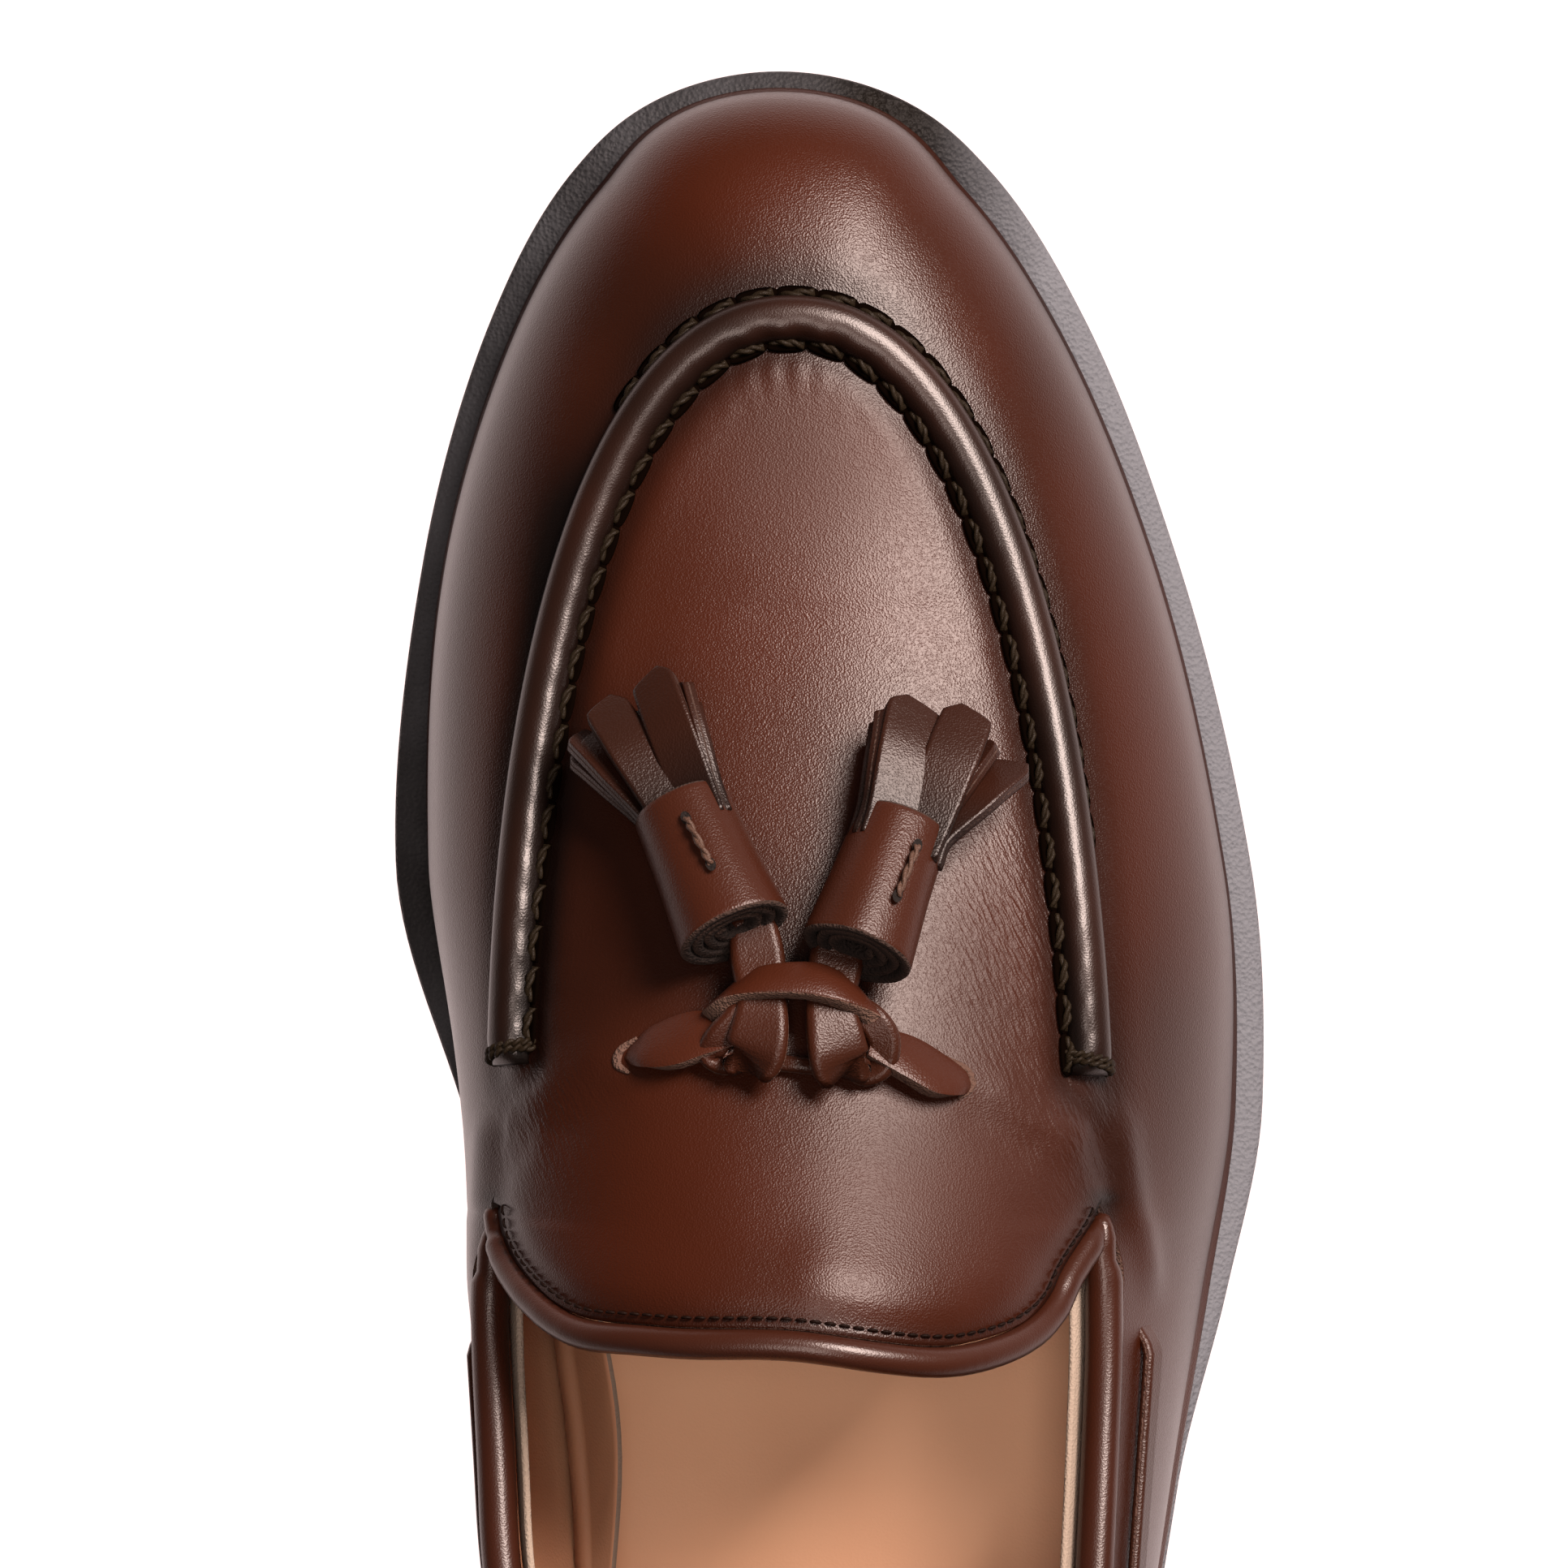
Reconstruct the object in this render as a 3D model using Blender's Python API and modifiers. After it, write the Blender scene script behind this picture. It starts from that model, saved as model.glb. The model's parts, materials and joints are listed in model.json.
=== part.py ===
"""Tassel loafer, right shoe, standing empty on its sole.

Metres, +Z up, +Y towards the toe, +X towards the lateral (outer) side. The origin is under the
middle of the shoe's box, on the floor. One closed surface, the last, gives every leather piece its
form: rays run from the feather line, where upper meets sole, up to the ridge over the instep.
"""

import math
from collections import namedtuple

import bmesh
import bpy
from mathutils import Matrix, Vector
from mathutils.geometry import intersect_point_line

# Sole
SOLE_LENGTH = 0.294
BALL_WIDTH = 0.1074
SOLE_THICKNESS = 0.0077
WAIST_THICKNESS = 0.0055
TOE_SPRING = 0.0085
HEEL_HEIGHT = 0.0205
HEEL_TAPER = 0.0018
HEEL_BREAST = 0.0710
BREAST_CURVE = 0.0030
SOLE_MARGIN = 0.0050
SOLE_BEVEL = 0.0009
HEEL_CENTRE = 0.0010
TOE_SWING = 0.0072
INSOLE_THICKNESS = 0.0025

# Upper
WALL = 0.0020
GAP = 0.0003
INSTEP_RISE = 0.0960
TOE_POLE = 0.0350
HEEL_POLE = 0.0290
POLE_BLEND = 0.0100
THROAT_FROM_TOE = 0.1363
COLLAR_FROM_SEAT = 0.0560
RIDGE_SHIFT = 0.0021

# Apron, tongue and bindings
APRON_WIDTH = 0.0680
APRON_FROM_TOE = 0.0318
APRON_TAPER_POWER = 2.4
APRON_ROUND_POWER = 2.15
SEAM_END_FROM_TOE = 0.1218
SEAM_WIDTH = 0.0056
SEAM_HEIGHT = 0.0030
TONGUE_LENGTH = 0.0153
TONGUE_SLANT = 0.055
TONGUE_POWER_MEDIAL = 2.9
TONGUE_POWER_LATERAL = 4.2
TONGUE_BINDING_RADIUS = 0.0018
COLLAR_BINDING_RADIUS = 0.0023
BINDING_STEPS = [1.0, 0.9, 0.8, 0.7, 0.6, 0.5, 0.4]

# Lace and tassels
LACE_WIDTH = 0.0058
LACE_THICKNESS = 0.0018
RAIL_WIDTH = 0.0040
RAIL_THICKNESS = 0.0014
RAIL_BELOW_COLLAR = 0.0072
RAIL_START_BEHIND_THROAT = 0.0140
RAIL_END_FROM_HEEL = 0.0350
KNOT_FROM_TOE = 0.1180
SLIT_SPREAD = 0.0410
SLIT_BEHIND = 0.0041
LOOP_SPREAD = 0.0068
LOOP_DEPTH = 0.0040
LOOP_HEIGHT = 0.0050
BAR_LIFT = 0.0014
KEEPER_SPAN = 0.0226
KEEPER_WIDTH = 0.0052
KEEPER_HEIGHT = 0.0081
KEEPER_AHEAD = 0.0064
KEEPER_SHIFT = 0.0010
CUFF_RADIUS = 0.0061
CUFF_FLARE = 0.0007
CUFF_WALL = 0.0016
CUFF_LENGTH = 0.0166
CUFF_PLAN_SHARE = 0.94
STEM_DROP = 0.0022
STEM_LEAD = 0.0010
STEM_NARROWING = 0.84
CUFF_SPREAD = 0.0134
CUFF_AHEAD = 0.0132
FRINGE_LENGTH = 0.0168
STRIP_WIDTH = 0.0044
STRIP_THICKNESS = 0.0013
CORE_START = 0.35
CORE_END = 1.10
CORE_TAPER = 0.97
CORE_STAGGER = 0.04

# How finely the solids are faceted
STATIONS = 44
WALL_ROWS = 8
APRON_ROWS = 6
TONGUE_ROWS = 5
TONGUE_SIDE_TURN = math.radians(38)
TONGUE_EASING = 1.6
PLATE_COLUMNS = 6
SEAM_SIDES = 6
ROUND_SEGMENTS = 20
SHARP_EDGE = math.radians(40)

# Sole outline: half widths from the axis, as shares of the ball width times the ellipse of the same
# length, and the margin outside the upper as a share of SOLE_MARGIN.
SoleRow = namedtuple("SoleRow", "along medial lateral margin_medial margin_lateral")
SOLE_ROWS = [
    SoleRow(0.000, 0.540, 0.540, 0.55, 0.55),
    SoleRow(0.075, 0.504, 0.513, 0.50, 0.50),
    SoleRow(0.160, 0.417, 0.440, 0.40, 0.40),
    SoleRow(0.300, 0.318, 0.394, 0.25, 0.25),
    SoleRow(0.410, 0.298, 0.422, 0.25, 0.25),
    SoleRow(0.490, 0.326, 0.478, 0.45, 0.62),
    SoleRow(0.570, 0.398, 0.532, 0.80, 0.85),
    SoleRow(0.670, 0.492, 0.553, 0.98, 0.82),
    SoleRow(0.800, 0.526, 0.553, 0.68, 0.72),
    SoleRow(0.900, 0.557, 0.568, 0.78, 0.85),
    SoleRow(0.960, 0.601, 0.603, 0.90, 0.95),
    SoleRow(1.000, 0.660, 0.660, 0.60, 0.60),
]

# Heights along the shoe: the sole's lift as shares of heel height and toe spring, the sole's
# thickness between waist (0) and forefoot (1), and the ridge as a share of INSTEP_RISE.
HeightRow = namedtuple("HeightRow", "along heel_lift toe_lift tread ridge")
HEIGHT_ROWS = [
    HeightRow(0.00, 1.000, 0.00, 0.0, 1.000),
    HeightRow(0.15, 0.955, 0.00, 0.0, 0.990),
    HeightRow(0.25, 0.855, 0.00, 0.0, 0.965),
    HeightRow(0.32, 0.720, 0.00, 0.0, 0.930),
    HeightRow(0.40, 0.500, 0.00, 0.0, 0.855),
    HeightRow(0.46, 0.310, 0.00, 0.2, 0.780),
    HeightRow(0.52, 0.140, 0.00, 0.6, 0.705),
    HeightRow(0.58, 0.030, 0.00, 1.0, 0.628),
    HeightRow(0.62, 0.000, 0.00, 1.0, 0.582),
    HeightRow(0.72, 0.000, 0.00, 1.0, 0.476),
    HeightRow(0.78, 0.000, 0.00, 1.0, 0.424),
    HeightRow(0.86, 0.000, 0.17, 1.0, 0.372),
    HeightRow(0.93, 0.000, 0.50, 1.0, 0.335),
    HeightRow(1.00, 0.000, 1.00, 1.0, 0.300),
]

# Section form: how far the wall bulges past the feather line as a share of the ball width, how high
# that pull reaches as a share of the section, and how far the crown stays level towards the wall.
FormRow = namedtuple("FormRow", "along bulge_m rise_m crown_m bulge_l rise_l crown_l")
FORM_ROWS = [
    FormRow(0.00, 0.047, 0.50, 0.75, 0.047, 0.50, 0.75),
    FormRow(0.16, 0.060, 0.50, 0.78, 0.047, 0.50, 0.72),
    FormRow(0.30, 0.150, 0.48, 0.84, 0.030, 0.42, 0.58),
    FormRow(0.41, 0.222, 0.46, 0.90, 0.010, 0.38, 0.50),
    FormRow(0.49, 0.198, 0.53, 0.86, 0.000, 0.38, 0.48),
    FormRow(0.57, 0.105, 0.66, 0.78, 0.015, 0.46, 0.52),
    FormRow(0.66, 0.028, 0.75, 0.72, 0.028, 0.55, 0.60),
    FormRow(0.80, 0.023, 0.75, 0.68, 0.023, 0.62, 0.62),
    FormRow(0.90, 0.019, 0.75, 0.60, 0.019, 0.70, 0.60),
    FormRow(1.00, 0.014, 0.75, 0.55, 0.014, 0.75, 0.55),
]

# Topline height over the seat, from the heel's middle to the throat, as shares of COLLAR_FROM_SEAT.
CollarRow = namedtuple("CollarRow", "along height")
COLLAR_ROWS = [
    CollarRow(0.00, 1.000),
    CollarRow(0.08, 0.965),
    CollarRow(0.17, 0.835),
    CollarRow(0.28, 0.700),
    CollarRow(0.38, 0.640),
    CollarRow(0.46, 0.630),
    CollarRow(0.50, 0.645),
    CollarRow(0.54, 0.745),
    CollarRow(0.60, 0.780),
]

# The two sides of the knot: how far its slit lies behind the middle as a share of SLIT_BEHIND, how far
# the tassel's rear end lies ahead of it as a share of CUFF_AHEAD, the tassel's turn outwards and the
# further turn of its fringe.
SideRow = namedtuple("SideRow", "name sign slit_behind cuff_ahead turn fringe_turn")
SIDE_ROWS = [
    SideRow("medial", -1, 0.88, 1.045, math.radians(23.5), math.radians(6)),
    SideRow("lateral", 1, 1.12, 0.955, math.radians(23.5), math.radians(0)),
]

# Strips of a tassel from its inner to its outer side: place round the core from the inner side over
# the top, turn outwards, length as a share of FRINGE_LENGTH, droop towards the apron as a share of
# CUFF_RADIUS, and the slant of the cut tip as a share of STRIP_WIDTH.
StripRow = namedtuple("StripRow", "around turn length droop slant")
STRIP_ROWS = [
    StripRow(math.radians(-6), math.radians(-29), 0.90, 0.35, -0.30),
    StripRow(math.radians(33), math.radians(-17), 0.97, 0.20, 0.30),
    StripRow(math.radians(70), math.radians(-5), 1.00, 0.10, -0.20),
    StripRow(math.radians(108), math.radians(8), 1.03, 0.15, 0.30),
    StripRow(math.radians(146), math.radians(21), 1.00, 0.30, 0.25),
    StripRow(math.radians(184), math.radians(34), 0.97, 0.50, 0.30),
]

# Rings of a strip: place as a share of CUFF_LENGTH behind the cuff's mouth and of the strip's length
# ahead of it, lift off the core as a share of STRIP_THICKNESS, and width as a share of STRIP_WIDTH.
StageRow = namedtuple("StageRow", "behind ahead lift width")
STAGE_ROWS = [
    StageRow(0.34, 0.00, 0.0, 0.90),
    StageRow(-0.03, 0.00, 0.0, 0.95),
    StageRow(0.00, 0.35, 0.4, 1.05),
    StageRow(0.00, 0.80, 0.5, 1.10),
    StageRow(0.00, 1.00, 0.0, 0.30),
]

# Keeper over the loops: place across it as a share of half KEEPER_SPAN, and height over the apron as a
# share of KEEPER_HEIGHT.
KeeperRow = namedtuple("KeeperRow", "across height")
KEEPER_ROWS = [
    KeeperRow(-1.00, 0.148),
    KeeperRow(-0.92, 0.600),
    KeeperRow(-0.74, 0.930),
    KeeperRow(-0.35, 1.000),
    KeeperRow(0.35, 1.000),
    KeeperRow(0.74, 0.930),
    KeeperRow(0.92, 0.600),
    KeeperRow(1.00, 0.148),
]

# Bar of the lace: place from the slit (0) to the loop (1) and lift as a share of BAR_LIFT.
BarRow = namedtuple("BarRow", "along lift")
BAR_ROWS = [
    BarRow(0.0, 0.0),
    BarRow(0.4, 0.5),
    BarRow(1.0, 1.0),
]

# Loop of the lace behind the knot: place along the shoe from the knot's middle as a share of LOOP_DEPTH,
# and height over the apron as a share of LOOP_HEIGHT.
LoopRow = namedtuple("LoopRow", "ahead height")
LOOP_ROWS = [
    LoopRow(0.25, 0.24),
    LoopRow(-0.65, 0.24),
    LoopRow(-1.00, 0.44),
    LoopRow(-1.00, 0.74),
    LoopRow(-0.65, 0.96),
    LoopRow(0.25, 1.00),
    LoopRow(1.60, 1.00),
]

MATERIALS = {
    "calf": ((0.130, 0.032, 0.017), 0.34),
    "edge_calf": ((0.060, 0.017, 0.010), 0.32),
    "lace_calf": ((0.110, 0.032, 0.019), 0.45),
    "insole_leather": ((0.420, 0.230, 0.140), 0.55),
    "sole_black": ((0.020, 0.015, 0.014), 0.55),
}


def row_value(rows, column, along):
    """Smooth value of a table's column at a share of the length."""
    along = min(max(along, rows[0].along), rows[-1].along)
    last = len(rows) - 2
    k = max(i for i in range(last + 1) if rows[i].along <= along)
    low, high = rows[k], rows[k + 1]
    step = high.along - low.along

    def slope(i):
        if i == 0 or i == len(rows) - 1:
            return 0.0
        before, here, after = (getattr(rows[n], column) for n in (i - 1, i, i + 1))
        left = (here - before) / (rows[i].along - rows[i - 1].along)
        right = (after - here) / (rows[i + 1].along - rows[i].along)
        if left * right <= 0:
            return 0.0
        return 2.0 * left * right / (left + right)

    u = (along - low.along) / step
    a, b = getattr(low, column), getattr(high, column)
    h00 = 2 * u**3 - 3 * u**2 + 1
    h10 = u**3 - 2 * u**2 + u
    h01 = 3 * u**2 - 2 * u**3
    h11 = u**3 - u**2
    return h00 * a + h10 * step * slope(k) + h01 * b + h11 * step * slope(k + 1)


def bisect(low, high, goal):
    """Where goal changes from true at low to false at high."""
    for _ in range(40):
        middle = (low + high) / 2
        if goal(middle):
            low = middle
        else:
            high = middle
    return (low + high) / 2


def along_of(y):
    """Share of the sole's length, from the heel, of a place along the shoe."""
    return y / SOLE_LENGTH + 0.5


def from_toe(distance):
    """Place along the shoe, a distance behind the toe's tip."""
    return SOLE_LENGTH / 2 - distance


def axis_x(along):
    """The sole's axis, which swings towards the big toe."""
    return HEEL_CENTRE - TOE_SWING * along


def raw_outline(turn):
    """Sole's outline before centring. Turn 0 is the heel, pi the toe, and below pi is lateral."""
    along = (1 - math.cos(turn)) / 2
    lateral = math.sin(turn) >= 0
    half = BALL_WIDTH * row_value(SOLE_ROWS, "lateral" if lateral else "medial", along)
    return Vector((axis_x(along) + half * math.sin(turn), along * SOLE_LENGTH - SOLE_LENGTH / 2, 0))


def centring():
    """Shift that puts the sole's outline in the middle of its own box."""
    across = [raw_outline(2 * math.pi * k / 720).x for k in range(720)]
    return -(min(across) + max(across)) / 2


CENTRE_SHIFT = centring()


def outline(turn, inset=0.0):
    """Point of the sole's outline, moved square to it towards the inside."""
    here = raw_outline(turn)
    ahead, behind = raw_outline(turn + 0.004), raw_outline(turn - 0.004)
    along = (ahead - behind).normalized()
    return here + Vector((CENTRE_SHIFT, 0, 0)) + Vector((-along.y, along.x, 0)) * inset


def margin(turn):
    """Width of sole that shows outside the upper."""
    along = (1 - math.cos(turn)) / 2
    column = "margin_lateral" if math.sin(turn) >= 0 else "margin_medial"
    return SOLE_MARGIN * row_value(SOLE_ROWS, column, along)


def seat_height(y):
    """Height of the feather line, where the upper stands on the sole."""
    along = along_of(y)
    lift = HEEL_HEIGHT - SOLE_THICKNESS + WAIST_THICKNESS
    rise = row_value(HEIGHT_ROWS, "heel_lift", along) * lift
    return SOLE_THICKNESS + GAP + rise + row_value(HEIGHT_ROWS, "toe_lift", along) * TOE_SPRING


def sole_thickness(y):
    """Thickness of the outsole, thinner in the waist and under the heel."""
    share = row_value(HEIGHT_ROWS, "tread", along_of(y))
    return WAIST_THICKNESS + share * (SOLE_THICKNESS - WAIST_THICKNESS)


def ridge_point(y):
    """Point of the ridge over toe, instep and heel."""
    along = along_of(y)
    height = SOLE_THICKNESS + row_value(HEIGHT_ROWS, "ridge", along) * INSTEP_RISE
    return Vector((CENTRE_SHIFT - RIDGE_SHIFT + axis_x(along) * 0.5, y, height))


def feather(turn):
    """Point of the feather line."""
    point = outline(turn, margin(turn))
    point.z = seat_height(point.y)
    return point


def pole_place(y):
    """Where the ray that starts at y meets the ridge: rays fan out at toe and heel."""
    front, back = from_toe(TOE_POLE), HEEL_POLE - SOLE_LENGTH / 2
    if y >= front + POLE_BLEND:
        return front
    if y > front - POLE_BLEND:
        return front - (front + POLE_BLEND - y) ** 2 / (4 * POLE_BLEND)
    if y <= back - POLE_BLEND:
        return back
    if y < back + POLE_BLEND:
        return back + (y - back + POLE_BLEND) ** 2 / (4 * POLE_BLEND)
    return y


def ray_controls(turn):
    """Four control points of the ray from the feather line to the ridge."""
    foot = feather(turn)
    top = ridge_point(pole_place(foot.y))
    side = "l" if math.sin(turn) >= 0 else "m"
    along = along_of(foot.y)
    bulge = row_value(FORM_ROWS, "bulge_" + side, along) * BALL_WIDTH
    rise = row_value(FORM_ROWS, "rise_" + side, along)
    crown = row_value(FORM_ROWS, "crown_" + side, along)
    flat = Vector((foot.x - top.x, foot.y - top.y, 0))
    wall = foot + flat.normalized() * bulge + Vector((0, 0, rise * (top.z - foot.z)))
    level = top + flat * crown
    slope = (ridge_point(top.y + 0.001).z - ridge_point(top.y - 0.001).z) / 0.002
    level.z = top.z + slope * (level.y - top.y)
    return foot, wall, level, top


def on_ray(controls, share):
    """Point of a ray at a share from foot (0) to ridge (1)."""
    a, b, c, d = controls
    s, r = share, 1 - share
    return a * r**3 + b * 3 * r * r * s + c * 3 * r * s * s + d * s**3


def last_normal(turn, share):
    """Outward normal of the last."""
    share = min(share, 0.985)
    ahead, behind = ray_controls(turn + 0.01), ray_controls(turn - 0.01)
    forward = on_ray(ahead, share) - on_ray(behind, share)
    here = ray_controls(turn)
    upward = on_ray(here, min(share + 0.01, 1.0)) - on_ray(here, share - 0.01)
    return forward.cross(upward).normalized()


def apron_excess(point):
    """Below 0 inside the apron's outline, above 0 outside it."""
    start, end = from_toe(THROAT_FROM_TOE), from_toe(APRON_FROM_TOE)
    length = max(0.0, (point.y - start) / (end - start))
    across = abs(point.x - ridge_point(point.y).x) / (APRON_WIDTH / 2)
    return across**APRON_ROUND_POWER + length**APRON_TAPER_POWER - 1


def apron_share(controls):
    """Share of a ray at which it crosses the apron's outline."""
    return bisect(0.05, 0.999, lambda s: apron_excess(on_ray(controls, s)) > 0)


def collar_height(y):
    """Height of the topline."""
    return seat_height(y) + COLLAR_FROM_SEAT * row_value(COLLAR_ROWS, "height", along_of(y))


def collar_share(controls):
    """Share of a ray at which it reaches the topline."""

    def below(share):
        point = on_ray(controls, share)
        return point.z < collar_height(point.y)

    return bisect(0.05, 0.97, below)


def turn_at(y, lateral):
    """Turn of the ray whose foot is at y."""
    turn = bisect(0.2, math.pi - 0.2, lambda t: feather(t if lateral else -t).y < y)
    return turn if lateral else 2 * math.pi - turn


def on_last(x, y):
    """Point and outward normal of the last above a place on the instep."""
    lateral = x >= ridge_point(y).x
    turn = turn_at(y, lateral)
    controls = ray_controls(turn)
    sign = 1 if lateral else -1
    share = bisect(0.3, 1.0, lambda s: (on_ray(controls, s).x - x) * sign > 0)
    return on_ray(controls, share), last_normal(turn, share)


def side_turns():
    """Turns of the lateral rays from heel to toe, with one at each throat and seam end."""
    turns = [math.pi * k / STATIONS for k in range(STATIONS + 1)]
    for place in (from_toe(THROAT_FROM_TOE), from_toe(SEAM_END_FROM_TOE)):
        exact = turn_at(place, True)
        nearest = min(range(1, STATIONS), key=lambda k: abs(turns[k] - exact))
        turns[nearest] = exact
    return turns


TURNS = side_turns()
THROAT = min(range(STATIONS), key=lambda k: abs(TURNS[k] - turn_at(from_toe(THROAT_FROM_TOE), True)))
SEAM_END = min(range(STATIONS), key=lambda k: abs(TURNS[k] - turn_at(from_toe(SEAM_END_FROM_TOE), True)))


def loop_turns():
    """Turns of all rays, from the heel along the lateral side to the toe and back."""
    return TURNS + [2 * math.pi - t for t in reversed(TURNS[1:-1])]


def split_share(index, controls):
    """Share of a ray at which wall gives way to apron, or ends at the topline."""
    if index >= SEAM_END:
        return apron_share(controls)
    if index <= THROAT:
        return collar_share(controls)
    mix = (index - THROAT) / (SEAM_END - THROAT)
    return collar_share(controls) * (1 - mix) + apron_share(controls) * mix


def material(name):
    """The named material, made once."""
    found = bpy.data.materials.get(name)
    if found:
        return found
    colour, roughness = MATERIALS[name]
    made = bpy.data.materials.new(name)
    made.use_nodes = True
    shader = made.node_tree.nodes["Principled BSDF"]
    shader.inputs["Base Color"].default_value = (*colour, 1)
    shader.inputs["Roughness"].default_value = roughness
    shader.inputs["Metallic"].default_value = 0
    return made


def collection(name):
    """A collection of the scene, made once."""
    found = bpy.data.collections.get(name)
    if not found:
        found = bpy.data.collections.new(name)
        bpy.context.scene.collection.children.link(found)
    return found


def add_mesh(name, mesh, finish, group="tassel_loafer"):
    """An object for a mesh, in its collection."""
    made = bpy.data.objects.new(name, mesh)
    collection(group).objects.link(made)
    mesh.materials.append(material(finish))
    return made


def from_faces(name, points, faces, finish, group="tassel_loafer"):
    """An object from computed points and faces, shaded smooth."""
    mesh = bpy.data.meshes.new(name)
    mesh.from_pydata(points, [], faces)
    grid = bmesh.new()
    grid.from_mesh(mesh)
    bmesh.ops.remove_doubles(grid, verts=grid.verts, dist=1e-6)
    bmesh.ops.recalc_face_normals(grid, faces=grid.faces)
    grid.to_mesh(mesh)
    grid.free()
    mesh.shade_smooth()
    mesh.set_sharp_from_angle(angle=SHARP_EDGE)
    return add_mesh(name, mesh, finish, group)


def loft(name, rings, finish, group="tassel_loafer"):
    """A closed solid through rings of equally many points."""
    count = len(rings[0])
    points = [p for ring in rings for p in ring]
    faces = [tuple(range(count)), tuple(range(len(points) - count, len(points)))]
    for k in range(len(rings) - 1):
        for n in range(count):
            m = (n + 1) % count
            faces.append((k * count + n, k * count + m, (k + 1) * count + m, (k + 1) * count + n))
    return from_faces(name, points, faces, finish, group)


def tube(name, centres, radii, finish):
    """A round tube along points, as a curve with filled caps."""
    data = bpy.data.curves.new(name, "CURVE")
    data.dimensions = "3D"
    data.bevel_depth = max(radii)
    data.bevel_resolution = 2
    data.use_fill_caps = True
    line = data.splines.new("POLY")
    line.points.add(len(centres) - 1)
    for point, centre, radius in zip(line.points, centres, radii):
        point.co = (*centre, 1)
        point.radius = radius / data.bevel_depth
    data.materials.append(material(finish))
    made = bpy.data.objects.new(name, data)
    collection("tassel_loafer").objects.link(made)
    return made


def ribbon(name, path, finish, width, thickness):
    """A flat strap through (centre, normal, across) frames."""
    rings = []
    for centre, normal, across in path:
        side, up = across * (width / 2), normal * (thickness / 2)
        rings.append([centre - side - up, centre + side - up, centre + side + up, centre - side + up])
    return loft(name, rings, finish)


def upper_surface():
    """Outer surface of vamp, quarters, apron and tongue: points, faces and the topline's loop."""
    turns = loop_turns()
    points, faces, keys = [], [], {}

    def place(key, point):
        if key not in keys:
            keys[key] = len(points)
            points.append(point)
        return keys[key]

    def ray_index(n):
        return n if n <= STATIONS else len(turns) - n

    front = from_toe(TOE_POLE)
    rows = []
    for n, turn in enumerate(turns):
        controls = ray_controls(turn)
        split = split_share(ray_index(n), controls)
        column = [
            place(("wall", n, j), on_ray(controls, split * j / WALL_ROWS))
            for j in range(WALL_ROWS + 1)
        ]
        if ray_index(n) >= THROAT:
            for j in range(1, APRON_ROWS):
                share = split + (1 - split) * j / APRON_ROWS
                column.append(place(("apron", n, j), on_ray(controls, share)))
            pole = controls[3].y >= front
            column.append(place("pole" if pole else ("ridge", ray_index(n)), controls[3]))
        rows.append(column)
    for n, column in enumerate(rows):
        after = rows[(n + 1) % len(rows)]
        for j in range(min(len(column), len(after)) - 1):
            corners = [column[j], after[j], after[j + 1], column[j + 1]]
            faces.append(tuple(dict.fromkeys(corners)))
    add_tongue(rows, points, faces)
    return points, faces


def tongue_edge(share):
    """Tongue's edge in plan, from the medial (0) to the lateral (1) corner of the throat."""
    turn = math.pi * share
    throat = from_toe(THROAT_FROM_TOE)
    half = APRON_WIDTH / 2
    lateral = share > 0.5
    power = TONGUE_POWER_LATERAL if lateral else TONGUE_POWER_MEDIAL
    across = math.copysign(abs(math.cos(turn)) ** (2 / power), -math.cos(turn)) * half
    depth = math.sin(turn) ** (2 / power) * (TONGUE_LENGTH + TONGUE_SLANT * across)
    return ridge_point(throat).x + across, throat - depth


def corner_offset(point, lateral):
    """How far the throat's corner lies outside the apron's half width."""
    half = APRON_WIDTH / 2 * (1 if lateral else -1)
    return point.x - (ridge_point(point.y).x + half)


def tongue_place(share, medial_shift, lateral_shift):
    """Plan point of the tongue's edge, which starts and ends at the topline's corners."""
    x, y = tongue_edge(share)
    return Vector((x + medial_shift * (1 - share) + lateral_shift * share, y, 0))


def tongue_shares(count):
    """Shares along the tongue's edge: down the medial side, along the end and up the lateral side."""
    side = TONGUE_SIDE_TURN / math.pi
    down = [side * (q / TONGUE_ROWS) ** TONGUE_EASING for q in range(TONGUE_ROWS + 1)]
    end = [side + (1 - 2 * side) * k / count for k in range(1, count)]
    return down + end + [1 - s for s in reversed(down)]


def tongue_outline(medial, lateral, count):
    """Plan points of the tongue's edge between its corners on the topline."""
    shift_m, shift_l = corner_offset(medial, False), corner_offset(lateral, True)
    return [tongue_place(share, shift_m, shift_l) for share in tongue_shares(count)]


def add_tongue(rows, points, faces):
    """Tongue's patch, between the throat and its round edge."""
    medial, lateral = rows[len(rows) - THROAT], rows[THROAT]
    across = medial[WALL_ROWS:] + lateral[-2 : WALL_ROWS - 1 : -1]
    count = len(across) - 1
    edge = tongue_outline(points[across[0]], points[across[-1]], count)
    end = edge[TONGUE_ROWS : TONGUE_ROWS + count + 1]
    depth = edge[0].y - end[0].y
    grid = [across]
    for q in range(1, TONGUE_ROWS + 1):
        left, right = edge[q], edge[-1 - q]
        mix = (edge[0].y - left.y) / depth
        row = []
        for k in range(count + 1):
            share = k / count
            base = points[across[k]].lerp(end[k], mix)
            base_left = points[across[0]].lerp(end[0], mix)
            base_right = points[across[-1]].lerp(end[-1], mix)
            base += (left - base_left) * (1 - share) + (right - base_right) * share
            row.append(len(points))
            points.append(on_last(base.x, base.y)[0])
        grid.append(row)
    for upper_row, lower_row in zip(grid, grid[1:]):
        for k in range(count):
            faces.append((upper_row[k], upper_row[k + 1], lower_row[k + 1], lower_row[k]))


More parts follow.
